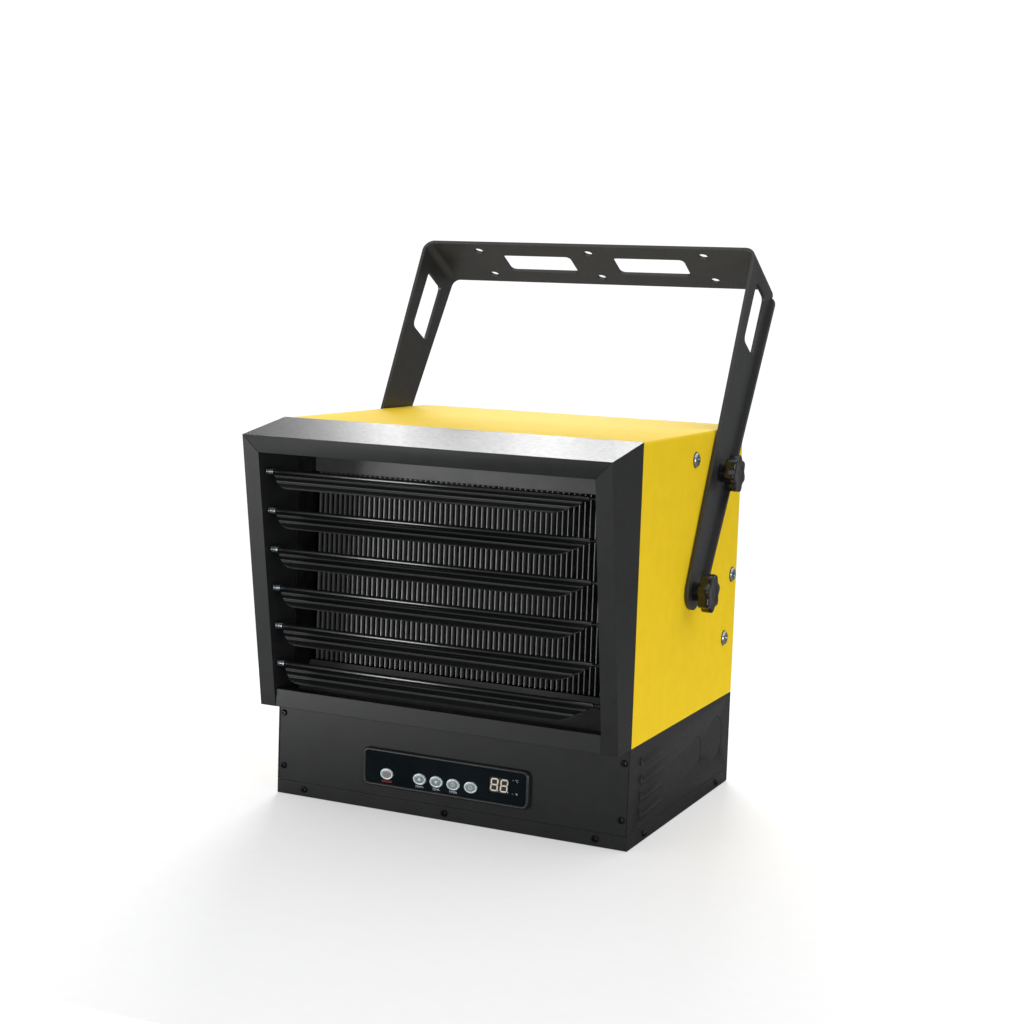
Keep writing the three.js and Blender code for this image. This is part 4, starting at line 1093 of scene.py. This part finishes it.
@dataclass
class TerminalBox:
    """Black box under the cabinet: shell with pressed vents, front panel, tray, and what is inside."""

    finishes: Palette
    wall_x: float = 184.5
    front_y: float = -141.0
    vent_front: float = -115.0
    vent_length: float = 60.7
    vent_half: float = 4.0
    vent_rise: float = 3.0
    vent_nose: float = 2.4
    vent_rows: tuple[float, ...] = (76.8, 61.1, 45.4, 29.7)
    screw: float = 3.2
    screw_height: float = 2.2
    knockouts: tuple[tuple[float, float, float], ...] = ((39.3, 53.9, 14.3), (95.6, 55.3, 22.0))
    knockout_depth: float = 0.6
    knockout_shift: float = 2.3
    knockout_sink: float = 0.03
    slit: tuple[float, float] = (-0.12, -0.08)

    def vent(self, z: float) -> BMesh:
        """Pressed vent on the right wall: a rain-hood ridge that fades to the rear, with a flat nose.

        Args:
            z: height of its middle.

        Returns:
            The ridge, sunk a little into the wall.
        """
        section = [(0.0, 1.0), (0.06, 0.86), (0.22, 0.62), (0.44, 0.32), (0.68, 0.0), (0.88, -0.32),
                   (0.98, -0.55), (1.0, -0.68), (0.92, -0.82), (0.70, -0.92), (0.35, -0.98), (0.0, -1.0)]
        rings = []
        for step in range(13):
            share = math.cos(math.pi / 2 * step / 12.4)
            y = self.vent_front + self.vent_length * step / 12
            outer = [Vector((self.wall_x + self.vent_rise * share * out, y, z + self.vent_half * up))
                     for out, up in section]
            inner = [Vector((self.wall_x - 0.4, y, point.z)) for point in (outer[-1], outer[0])]
            rings.append(outer + inner)
        bm = loft(rings)
        slant = Vector((self.vent_nose, -self.vent_rise, 0)).normalized()
        bmesh.ops.bisect_plane(bm, geom=whole(bm), dist=1e-4, clear_outer=True,
                               plane_co=(self.wall_x, self.vent_front, z), plane_no=slant)
        bmesh.ops.holes_fill(bm, edges=open_edges(bm), sides=0)
        return outward(bm)

    def knockout(self, y: float, z: float, radius: float) -> BMesh:
        """Disc of a knockout, set towards the front so that a thin crescent shows behind it.

        Its front part lies inside the wall, past the edge of the recess.

        Args:
            y, z: middle of the recess.
            radius: of the recess.

        Returns:
            The disc, facing right.
        """
        disc = turned([(0, 0), (radius, 0), (radius, -self.knockout_depth), (0, -self.knockout_depth)], 72)
        return moved(disc, Facing.RIGHT.at(self.wall_x - self.knockout_sink, y - self.knockout_shift, z))

    def knockout_shade_disc(self, y: float, z: float, radius: float) -> BMesh:
        """Thin near-black disc that fills a recess near its mouth and shows as the crescent: painted shade in
        place of the dark inside seen through the slit.

        Args:
            y, z: middle of the recess.
            radius: of the recess.

        Returns:
            The dark disc, facing right.
        """
        low, high = self.slit
        flat = turned([(0, low), (radius, low), (radius, high), (0, high)], 72)
        return moved(flat, Facing.RIGHT.at(self.wall_x, y, z))

    def screws(self) -> BMesh:
        """Black screws on the front, the tray and the side flanges."""
        front = [(-178.6, 80.4), (178.6, 80.4), (-177.8, 28.0), (177.8, 28.0), (-154.0, 7.0), (-0.5, 7.0),
                 (153.0, 7.0)]
        places = [Facing.FRONT.at(x, self.front_y, z) @ Matrix.Rotation(0.7 * x, 4, "Z") for x, z in front]
        for facing, x in ((Facing.RIGHT, self.wall_x), (Facing.LEFT, -self.wall_x)):
            places += [facing.at(x, y, 6.5) @ Matrix.Rotation(0.3 * y, 4, "Z") for y in (-99.2, 105.3)]
        return copies(cross_screw(self.screw, self.screw_height), places)

    def build(self) -> None:
        """Builds and dresses the terminal box."""
        tones = self.finishes
        rounded_copy("box_wrap", "box_shell", tones.black, 0.25)
        right = together([self.vent(z) for z in self.vent_rows])
        left = mirrored_x(right.copy())
        settle(together([right, left]), "box_vents", tones.black, sharp=40.0)
        discs = together([self.knockout(*size) for size in self.knockouts])
        settle(discs, "knockout_discs", tones.black, sharp=30.0)
        # Painted shade: near-black discs in the recesses, shown as dark crescents.
        shade_discs = together([self.knockout_shade_disc(*size) for size in self.knockouts])
        settle(shade_discs, "knockout_slit_shade", tones.gap)
        rounded_copy("box_front_panel", "box_front", tones.black, 0.4)
        rounded_copy("box_tray", "box_bottom", tones.black, 0.4)
        settle(self.screws(), "box_screws", tones.black_screw)
        rounded_copy("terminal_block", "terminal_strip", tones.phenolic, 0.8)
        rounded_copy("contactor", "relay_block", tones.phenolic, 1.0)


@dataclass
class ControlPanel:
    """Rim, gloss film, display and five push buttons."""

    finishes: Palette
    corner: float = 7.0
    front_y: float = -141.0
    rim: float = 3.6
    film_front: float = 2.2
    film: float = 1.6
    button: tuple[float, float] = (13.5, 10.8)
    button_top: float = 3.6
    face: float = 0.3
    window: tuple[float, float] = (20.7, 15.1)
    digit: tuple[float, float] = (7.9, 12.4)
    digit_middles: tuple[float, float] = (-4.9, 5.1)
    digit_lean: float = 0.09
    bar: float = 1.4
    word_drop: float = 7.5
    letter: float = 3.1
    unit_letter: float = 3.0
    lamp: float = 1.1
    lamp_x: float = 70.6
    lamp_rows: tuple[float, float] = (36.5, 49.3)

    def __post_init__(self) -> None:
        """Reads the places of the panel's pieces from the frame."""
        low, high = span("control_frame", 0)
        self.width = high - low
        low, high = span("control_frame", 2)
        self.height, self.z = high - low, (high + low) / 2
        self.places = {icon: middle(f"{icon.value}_button", 0) for icon in Icon}
        self.button_z = middle("power_button", 2)
        self.display = (middle("display_module", 0), middle("display_module", 2))

    def on_panel(self, x: float, z: float, out: float = 0.0) -> Matrix:
        """Place on the panel, out mm before the box's front."""
        return Facing.FRONT.at(x, self.front_y - out, z)

    def inner(self, inset: float, level: float) -> Ring:
        """Outline of the panel, drawn in by inset, at a level."""
        corner = max(self.corner - inset, 1.2)
        return oblong(self.width - 2 * inset, self.height - 2 * inset, corner, level, 8)

    def rim_solid(self) -> BMesh:
        """Round-backed rim with the tub behind it."""
        steps = [(2.6, -10.7), (2.6, 0.3), (0.0, 0.3), (0.0, 2.3), (0.2, 3.0), (0.7, 3.7), (1.4, 4.2),
                 (2.0, 4.3), (2.6, 4.1), (3.1, 3.6), (3.45, 2.9), (self.rim, 2.2), (self.rim, -0.2),
                 (4.4, -0.2), (4.4, -9.0)]
        return moved(loft([self.inner(*step) for step in steps]), self.on_panel(0, self.z))

    def film_sheet(self) -> BMesh:
        """Gloss film with its holes for buttons, display and lamps."""
        x, z = self.display
        holes = [[point + Vector((button, self.button_z - self.z, 0)) for point in self.oval(-0.25, 0)]
                 for button in self.places.values()]
        holes.append(oblong(*self.window, 0.6, 0, 3, (x, z - self.z)))
        holes += [[point + Vector((self.lamp_x, level - self.z, 0)) for point in ring(self.lamp, 0, even(16))]
                  for level in self.lamp_rows]
        bm = pierced(self.inner(self.rim + 0.25, 0), holes, self.film)
        return moved(bm, self.on_panel(0, self.z, self.film_front))

    def oval(self, inset: float, level: float) -> Ring:
        """Ellipse of a button, drawn in by inset, at a level."""
        across, up = self.button[0] / 2 - inset, self.button[1] / 2 - inset
        return [Vector((across * math.cos(a), up * math.sin(a), level)) for a in even(48)]

    def oval_solid(self, steps: Sequence[tuple[float, float]], x: float) -> BMesh:
        """Oval solid on the panel, at x, from pairs of inset and level."""
        return moved(loft([self.oval(*step) for step in steps]), self.on_panel(x, self.button_z))

    def push_button(self, x: float) -> BMesh:
        """Oval button with a rounded border and a shallow dish."""
        top = self.button_top
        steps = [(-1.2, -0.9), (-1.2, 0.3), (0.0, 0.3), (0.0, 2.9), (0.15, 3.3), (0.5, top - 0.08),
                 (0.9, top), (1.3, top - 0.1), (1.55, top - 0.4), (2.4, top - 0.45)]
        return self.oval_solid(steps, x)

    def button_face(self, x: float) -> BMesh:
        """Grey-green disc printed in the dish of a button."""
        top = self.button_top - 0.37
        return self.oval_solid([(1.75, top - 0.2), (1.65, top - 0.03), (1.75, top), (3.0, top)], x)

    def mark(self, icon: Icon) -> BMesh:
        """Printed mark of a button.

        Args:
            icon: which mark.

        Returns:
            The mark, facing local Z.
        """
        thick = (-0.04, 0.06)
        if icon in (Icon.UP, Icon.DOWN):
            turn = math.pi / 2 if icon is Icon.UP else -math.pi / 2
            return loft([ring(1.95, level, [turn + a for a in even(3)]) for level in thick])
        sweep, start = math.tau, 0.0
        if icon is Icon.POWER:
            sweep, start = math.radians(285), math.radians(127.5)
        inner, outer = (1.5, 2.15) if icon is Icon.POWER else (1.55, 1.95)
        bm = bmesh.new()
        bmesh.ops.create_grid(bm, x_segments=1, y_segments=1, size=0.5)
        bmesh.ops.scale(bm, vec=(outer - inner, thick[1] - thick[0], 1), verts=bm.verts)
        moved(bm, Matrix.Rotation(start, 4, "Z") @ Matrix.Translation(((inner + outer) / 2, 0, 0))
              @ Matrix.Rotation(math.pi / 2, 4, "X"))
        bmesh.ops.spin(bm, geom=whole(bm), cent=(0, 0, 0), axis=(0, 0, 1), angle=sweep, steps=28,
                       use_merge=sweep == math.tau)
        bmesh.ops.remove_doubles(bm, verts=bm.verts, dist=1e-4)
        bars = {Icon.POWER: [((-0.3, 0.3), (0.3, 2.3))],
                Icon.CLOCK: [((-0.18, 0.18), (-0.18, 1.3)), ((-0.18, 1.0), (-0.18, 0.18))]}
        parts = [rounded_bar(x, y, thick, 0.0) for x, y in bars.get(icon, [])]
        return together([outward(bm), *parts])

    def words(self, text: str, size: float, x: float, z: float) -> BMesh:
        """Printed word on the film.

        Args:
            text: the word.
            size: letter height in mm, near enough.
            x, z: its middle.

        Returns:
            The word as a thin solid.
        """
        curve = bpy.data.curves.new("words", "FONT")
        curve.body = text
        curve.size = size
        curve.align_x = curve.align_y = "CENTER"
        curve.extrude = 0.02
        curve.resolution_u = 3
        holder = bpy.data.objects.new("words", curve)
        bpy.context.scene.collection.objects.link(holder)
        shown = holder.evaluated_get(bpy.context.evaluated_depsgraph_get())
        mesh = bpy.data.meshes.new_from_object(shown)
        bm = bmesh.new()
        bm.from_mesh(mesh)
        bmesh.ops.remove_doubles(bm, verts=bm.verts, dist=1e-3)
        bpy.data.objects.remove(holder)
        bpy.data.curves.remove(curve)
        bpy.data.meshes.remove(mesh)
        return moved(bm, self.on_panel(x, z, self.film_front + 0.02))

    def segment_bar(self, length: float, centre: tuple[float, float], upright: bool) -> BMesh:
        """One pointed bar of a digit.

        Args:
            length: from point to point.
            centre: its middle on the display.
            upright: whether it stands.

        Returns:
            The bar, facing local Z.
        """
        half, thin = length / 2, 0.68
        outline = [(half, 0), (half - thin, thin), (thin - half, thin), (-half, 0), (thin - half, -thin),
                   (half - thin, -thin)]
        rings = [[Vector((u, v, level)) for u, v in outline] for level in (0.0, 0.12)]
        turn = Matrix.Rotation(math.pi / 2 if upright else 0.0, 4, "Z")
        return moved(loft(rings), Matrix.Translation((*centre, 0)) @ turn)

    def digits(self) -> BMesh:
        """Two leaning digits with all bars lit, and their points."""
        width, height = self.digit
        span_x, span_z = width - self.bar, (height - self.bar) / 2
        parts = []
        for centre in self.digit_middles:
            parts += [self.segment_bar(span_x - 0.3, (centre, level), False)
                      for level in (-span_z, 0.0, span_z)]
            parts += [self.segment_bar(span_z - 0.3, (centre + side * span_x / 2, level), True)
                      for side in (-1, 1) for level in (-span_z / 2, span_z / 2)]
            corner = Vector((centre + width / 2 + 0.35, -span_z, 0))
            parts.append(loft([[point + corner for point in ring(0.55, level, even(12))]
                               for level in (0.0, 0.12)]))
        lean = Matrix(((1, self.digit_lean, 0, 0), (0, 1, 0, 0), (0, 0, 1, 0), (0, 0, 0, 1)))
        return moved(together(parts), self.on_panel(*self.display, self.face + 0.02) @ lean)

    def build(self) -> None:
        """Builds and dresses the control panel."""
        tones = self.finishes
        settle(self.rim_solid(), "panel_rim", tones.rim, replaces=["control_frame"],
               sharp=40.0)
        settle(self.film_sheet(), "panel_film", tones.film, replaces=["control_overlay"])
        for icon, x in self.places.items():
            name, body = icon.value, f"{icon.value}_button_body"
            settle(self.push_button(x), f"{name}_key", tones.silver, body,
                   [f"{name}_button"])
            settle(self.button_face(x), f"{name}_face", tones.sage, body)
            ink = tones.red_ink if icon is Icon.POWER else tones.pale_ink
            mark = moved(self.mark(icon), self.on_panel(x, self.button_z, self.button_top - 0.36))
            settle(mark, f"{name}_mark", ink, body)
        low = self.button_z - self.word_drop
        labels = {Icon.UP: "TEMP+", Icon.DOWN: "TEMP-", Icon.CLOCK: "TIMER"}
        printed = [self.words(text, self.letter, self.places[icon], low) for icon, text in labels.items()]
        printed += [self.words(text, self.unit_letter, self.lamp_x + 3.9, z)
                    for text, z in zip(("°F", "°C"), self.lamp_rows)]
        settle(together(printed), "panel_words", tones.white_ink)
        power = self.words("ON/OFF", self.letter, self.places[Icon.POWER], low)
        settle(power, "power_words", tones.red_ink)
        settle(self.digits(), "display_digits", tones.segment)
        lens = turned([(0, -1.5), (0.95, -1.5), (0.95, 0.1), (0.7, 0.35), (0, 0.5)], 20)
        lenses = copies(lens, [self.on_panel(self.lamp_x, z, self.film_front - 0.3) for z in self.lamp_rows])
        settle(lenses, "panel_lamps", tones.lens)
        dress("display_module", tones.window)
        dress("control_board", tones.mask)


@dataclass
class Bracket:
    """Folded carrying bracket with its star knobs, nuts and the screws round it."""

    finishes: Palette
    pivot_z: float = 218.3
    lean: float = 29.8
    outer: float = 189.2
    thick: float = 3.5
    top: float = 359.3
    bend: float = 12.0
    plate_half: float = 39.0
    end_half: float = 18.0
    lock: float = 126.0
    plate_hole: float = 5.1
    hole_x: float = 128.5
    hole_y: float = 24.1
    slot: tuple[float, float] = (80.2, 32.6)
    slot_x: float = 64.3
    slot_corner: float = 5.5
    arm_slot: tuple[float, float] = (68.0, 35.0)
    arm_slot_z: float = 299.0
    stud_hole: float = 4.3
    lip: tuple[float, float] = (22.0, 344.0)
    lip_out: float = 5.0
    seat: float = 189.5
    knob: float = 19.0
    dip: float = 3.4
    lobes: int = 7
    hub: float = 9.0
    hub_length: float = 8.0
    head: float = 11.0
    screw_seat: float = 184.6
    screw_angles: tuple[float, ...] = (0.0, 90.0, 120.0)
    knob_turns: tuple[float, float] = (0.2, 0.55)
    screw_turn: float = 0.4

    @property
    def leaning(self) -> Matrix:
        """Matrix from the upright bracket to the leaning one."""
        return Matrix.Translation((0, 0, self.pivot_z)) @ Matrix.Rotation(math.radians(-self.lean), 4, "X")

    def folded(self, point: Vector) -> Vector:
        """Place of a point of the flat blank once the arms are folded down.

        Args:
            point: (along the blank, across it, height over its outer face).

        Returns:
            The point on the folded bracket, upright, pivot at the origin.
        """
        along, side = abs(point.x), math.copysign(1.0, point.x)
        flat = self.outer - self.bend
        rise = self.top - self.bend
        arc = self.bend * math.pi / 2
        if along <= flat:
            return Vector((point.x, point.y, self.top + point.z))
        if along <= flat + arc:
            angle, radius = (along - flat) / self.bend, self.bend + point.z
            along = flat + radius * math.sin(angle)
            return Vector((side * along, point.y, rise + radius * math.cos(angle)))
        return Vector((side * (self.outer + point.z), point.y, rise - (along - flat - arc)))

    def strap(self) -> BMesh:
        """Bracket cut flat with all its holes, then folded.

        Returns:
            The bracket, upright, pivot at the origin.
        """
        flat = self.outer - self.bend
        fold_end = flat + self.bend * math.pi / 2
        pivot = fold_end + self.top - self.bend
        outline = []
        for side in (1, -1):
            for step in range(25):
                angle = side * math.pi * (step / 24 - 0.5)
                outline.append(Vector((side * (pivot + self.end_half * math.cos(angle)),
                                       self.end_half * math.sin(angle), 0)))
            outline += [Vector((side * x, side * self.plate_half, 0))
                        for x in (fold_end, flat, -flat, -fold_end)]

        def hole(radius: float, x: float, y: float) -> Ring:
            """Round hole of the blank."""
            return [point + Vector((x, y, 0)) for point in ring(radius, 0, even(24))]

        holes = [hole(self.plate_hole, column * self.hole_x, row * self.hole_y)
                 for column in (-1, 0, 1) for row in (-1, 1)]
        arm_slot = fold_end + self.top - self.bend - self.arm_slot_z
        for side in Side:
            holes += [oblong(*self.slot, self.slot_corner, 0, 6, (side.value * self.slot_x, 0)),
                      oblong(*self.arm_slot, self.slot_corner, 0, 6, (side.value * arm_slot, 0)),
                      hole(self.stud_hole, side.value * pivot, 0),
                      hole(self.stud_hole, side.value * (pivot - self.lock), 0)]
        bm = in_order(pierced(outline, holes, self.thick))
        for side in Side:
            for step in range(13):
                along = side.value * (flat + (fold_end - flat) * step / 12)
                bmesh.ops.bisect_plane(bm, geom=whole(bm), dist=1e-4, plane_co=(along, 0, 0),
                                       plane_no=(1, 0, 0))
        for vert in bm.verts:
            vert.co = self.folded(vert.co)
        bmesh.ops.dissolve_limit(bm, angle_limit=math.radians(0.5), use_dissolve_boundaries=False,
                                 verts=bm.verts[:], edges=bm.edges[:])
        return bm

    def arm_lip(self) -> BMesh:
        """Narrow outward lip along the rear edge of the right arm."""
        low, high = self.lip
        ends = [(0.0, 0.1), (0.8, 0.55), (2.2, 0.85), (4.5, 1.0)]
        stations = [(low + along, share) for along, share in ends]
        stations += [(high - 1.6 * along, share) for along, share in reversed(ends)]
        rings = []
        for z, share in stations:
            edge = self.end_half + (self.plate_half - self.end_half) * z / (self.top - self.bend)
            x0, x1, y0 = self.outer - 1.6, self.outer + self.lip_out * share, edge - self.thick
            rings.append([Vector((x, y, z)) for x, y in ((x0, y0), (x1, y0), (x1, edge), (x0, edge))])
        return loft(rings)

    def star_knob(self) -> BMesh:
        """Seven-lobed knob with its hub, facing local Z, its seat at level 0."""
        angles = even(self.lobes * 12)

        def lobes(inset: float) -> Callable[[float], float]:
            """Outline of the lobes, drawn in by inset."""
            return lambda angle: self.knob - inset - self.dip / 2 * (1 - math.cos(self.lobes * angle))

        low, high = self.hub_length, self.hub_length + self.head
        levels = [(self.hub - 0.5, 0.0), (self.hub, 0.5), (self.hub, low - 1.0), (self.hub + 0.8, low),
                  (lobes(1.2), low), (lobes(0.4), low + 0.3), (lobes(0.0), low + 0.9),
                  (lobes(0.0), high - 1.6), (lobes(0.4), high - 0.6), (lobes(1.3), high - 0.1),
                  (lobes(2.6), high), (8.0, high), (7.4, high - 0.2), (5.0, high - 0.2)]
        return loft([ring(radius, level, angles) for radius, level in levels])

    def stud(self) -> BMesh:
        """Threaded stud behind a knob."""
        thread = [(4.0 if k % 2 else 3.45, -0.625 * k - 0.4) for k in range(22)]
        return turned([(0, 1.5), (3.9, 1.5), *thread, (0, -14.4)], 20)

    def beside_pivot(self, side: Side, x: float, angle: float | None, turn: float) -> Matrix:
        """Place on a side wall, at the pivot or as far from it as the lock knobs are.

        Args:
            side: which wall.
            x: distance from the middle of the heater.
            angle: from straight up to the rear, in degrees, or None for the pivot itself.
            turn: of the piece on its own axis, in radians.

        Returns:
            The place, facing outwards.
        """
        y, z = 0.0, self.pivot_z
        if angle is not None:
            y, z = (self.lock * math.sin(math.radians(angle)), z + self.lock * math.cos(math.radians(angle)))
        return Facing[side.name].at(side.value * x, y, z) @ Matrix.Rotation(turn, 4, "Z")

    def build(self) -> None:
        """Builds and dresses the bracket and its fixings."""
        tones = self.finishes
        settle(moved(self.strap(), self.leaning), "bracket_strap", tones.bracket, "bracket",
               ["mounting_bracket"], edge=0.55)
        lips = together([self.arm_lip(), mirrored_x(self.arm_lip())])
        settle(moved(lips, self.leaning), "bracket_lips", tones.bracket, "bracket", edge=0.7)
        shade_rings = []
        for side in Side:
            for name, angle, turn, carrier in (("pivot", None, self.knob_turns[0], "chassis"),
                                               ("lock", self.lean, self.knob_turns[1], "bracket")):
                place = self.beside_pivot(side, self.seat, angle, turn)
                body = f"{name}_knob_{side.word}_body"
                settle(moved(self.star_knob(), place), f"{name}_star_{side.word}", tones.knob,
                       body, [f"{name}_knob_{side.word}"], sharp=40.0)
                settle(moved(self.stud(), place), f"{name}_stud_{side.word}", tones.zinc, body)
                nut = f"{name}_nut_{side.word}"
                settle(sheet_copy(nut), f"{name}_insert_{side.word}", tones.zinc, carrier, [nut],
                       edge=0.5)
            for count, angle in enumerate(self.screw_angles, 1):
                place = self.beside_pivot(side, self.screw_seat, angle, self.screw_turn * count)
                # Painted shade: a thin black ring under each screw head stands in for the shadow gap round
                # it.
                ring_section = [(4.0, -0.1), (7.7, -0.1), (7.7, 0.25), (7.5, 0.4), (4.0, 0.4)]
                shade_rings.append(moved(turned(ring_section, 48, endless=True), place))
                head = cross_screw(7.0, 2.9, 0.52, 0.13, 1.8)
                settle(moved(head, place), f"wall_screw_{side.word}_{count}", tones.zinc,
                       replaces=[f"side_screw_{side.word}_{count}"], sharp=30.0)
        settle(together(shade_rings), "wall_screw_shade_rings", tones.black_screw, sharp=30.0)


@dataclass(frozen=True)
class Softbox:
    """Soft rectangular light: place in metres, width and height, and power in watts."""

    name: str
    place: tuple[float, float, float]
    size: tuple[float, float]
    power: float


@dataclass
class Studio:
    """Pale floor, soft lights and the camera of the photograph."""

    finishes: Palette
    place: tuple[float, float, float] = (0.7532, -1.6392, 0.5008)
    azimuth: float = 24.817
    pitch: float = 5.831
    roll: float = 1.978
    lens: float = 64.17
    sensor: float = 36.0
    shift: tuple[float, float] = (-0.00238, -0.03668)
    backdrop: float = 1.05
    ambient: float = 0.24
    ambient_tint: Colour = (0.97, 0.98, 1.0)
    floor_half: float = 0.66
    floor_level: float = -0.0005
    floor_lift: float = 0.45
    floor_echo: float = 0.24
    sun: tuple[float, float] = (2.2, 110.0)
    sun_lean: tuple[float, float] = (10.0, 8.0)
    aim: tuple[float, float, float] = (0.0, 0.0, 0.25)
    lights: tuple[Softbox, ...] = (
        Softbox("back_light", (-0.95, 2.30, 1.50), (1.1, 0.9), 60.0),
        Softbox("front_light", (-1.55, -2.10, 0.1), (1.0, 1.2), 40.0),
        Softbox("right_light", (1.75, -1.65, 0.15), (0.9, 0.9), 24.0),
    )

    def put(self, name: str, data: bpy.types.ID, place: Matrix) -> bpy.types.Object:
        """Links a camera, a light or a mesh to the scene at a place and gives back its object."""
        made = bpy.data.objects.new(name, data)
        made.matrix_world = place
        bpy.context.scene.collection.objects.link(made)
        return made

    def camera(self) -> None:
        """Camera at the photograph's angle."""
        azimuth, pitch, roll = (math.radians(a) for a in (self.azimuth, self.pitch, self.roll))
        reach = math.cos(pitch)
        ahead = Vector((-math.sin(azimuth) * reach, math.cos(azimuth) * reach, -math.sin(pitch)))
        level = Vector((math.cos(azimuth), math.sin(azimuth), 0))
        rise = level.cross(ahead)
        right = level * math.cos(roll) + rise * math.sin(roll)
        up = rise * math.cos(roll) - level * math.sin(roll)
        data = bpy.data.cameras.new("photo_camera")
        data.lens, data.sensor_width = self.lens, self.sensor
        data.shift_x, data.shift_y = self.shift
        turn = Matrix((right, up, -ahead)).transposed().to_4x4()
        bpy.context.scene.camera = self.put("photo_camera", data, Matrix.Translation(self.place) @ turn)

    def softbox(self, box: Softbox) -> None:
        """Hangs one soft light, turned to the heater."""
        data = bpy.data.lights.new(box.name, "AREA")
        data.shape = "RECTANGLE"
        data.size, data.size_y = box.size
        data.energy = box.power
        turn = (Vector(box.place) - Vector(self.aim)).to_track_quat("Z", "Y").to_matrix().to_4x4()
        self.put(box.name, data, Matrix.Translation(box.place) @ turn).visible_camera = False

    def overhead(self) -> None:
        """Very soft light from above that leans to the rear and to the right."""
        data = bpy.data.lights.new("overhead", "SUN")
        data.energy, data.angle = self.sun[0], math.radians(self.sun[1])
        rear, right = (math.radians(angle) for angle in self.sun_lean)
        self.put("overhead", data, Matrix.Rotation(right, 4, "Y") @ Matrix.Rotation(-rear, 4, "X"))

    def seen_by(self, tree: bpy.types.NodeTree, rays: str, shaders: tuple[bpy.types.NodeSocket, ...],
                share: float = 1.0) -> bpy.types.NodeSocket:
        """Shader that one kind of ray sees in place of the usual one.

        Args:
            tree: the node tree.
            rays: the Light Path output that picks the rays.
            shaders: the usual shader, and the one for these rays.
            share: how much of the second one they see.

        Returns:
            The mixed shader.
        """
        path, part, mix = (tree.nodes.new(f"ShaderNode{kind}") for kind in ("LightPath", "Math", "MixShader"))
        part.operation = "MULTIPLY"
        part.inputs[1].default_value = share
        tree.links.new(path.outputs[rays], part.inputs[0])
        for source, target in zip((part.outputs["Value"], *shaders), mix.inputs):
            tree.links.new(source, target)
        return mix.outputs["Shader"]

    def surroundings(self) -> None:
        """World that is a white backdrop to the camera, and a dim soft light to all else."""
        world = bpy.data.worlds.new("studio")
        bpy.context.scene.world = world
        world.use_nodes = True
        tree = world.node_tree
        soft, white = tree.nodes["Background"], tree.nodes.new("ShaderNodeBackground")
        for sky, colour, strength in ((soft, self.ambient_tint, self.ambient),
                                      (white, (1.0, 1.0, 1.0), self.backdrop)):
            sky.inputs["Color"].default_value = (*colour, 1.0)
            sky.inputs["Strength"].default_value = strength
        mixed = self.seen_by(tree, "Is Camera Ray", (soft.outputs[0], white.outputs[0]))
        tree.links.new(mixed, tree.nodes["World Output"].inputs["Surface"])

    def quiet_floor(self) -> None:
        """Lifts the floor with white light for the camera only, and dims it in reflections."""
        tree = self.finishes.floor.node_tree
        out = next(node for node in tree.nodes if node.type == "OUTPUT_MATERIAL")
        pale = out.inputs["Surface"].links[0].from_socket
        glow, dim = tree.nodes.new("ShaderNodeEmission"), tree.nodes.new("ShaderNodeBsdfDiffuse")
        dim.inputs["Color"].default_value = (self.floor_echo, self.floor_echo, self.floor_echo, 1.0)
        lifted = self.seen_by(tree, "Is Camera Ray", (pale, glow.outputs[0]), self.floor_lift)
        mixed = self.seen_by(tree, "Is Glossy Ray", (lifted, dim.outputs[0]))
        tree.links.new(mixed, out.inputs["Surface"])

    def floor(self) -> None:
        """Round floor just under the heater."""
        disc = turned([(0, 0), (self.floor_half, 0)], 96)
        bmesh.ops.translate(disc, vec=(0, 0, self.floor_level), verts=disc.verts)
        mesh = bpy.data.meshes.new("pale_floor")
        disc.to_mesh(mesh)
        disc.free()
        mesh.materials.append(self.finishes.floor)
        self.put("pale_floor", mesh, Matrix())
        self.quiet_floor()

    def build(self) -> None:
        """Builds the camera, the floor and the lights."""
        self.camera()
        bpy.context.scene.view_settings.view_transform = "Standard"
        self.floor()
        self.surroundings()
        self.overhead()
        for box in self.lights:
            self.softbox(box)


def main() -> None:
    """Builds every sub-assembly in order and notes the size of the result."""
    logging.basicConfig(level=logging.INFO, format="%(message)s", stream=sys.stdout)
    finishes = Palette()
    for unit in (Studio, Cabinet, Hood, Louvers, HeatingUnit, FanUnit, TerminalBox, ControlPanel, Bracket):
        LOG.info("%s", unit.__name__)
        unit(finishes).build()


if __name__ == "__main__":
    main()
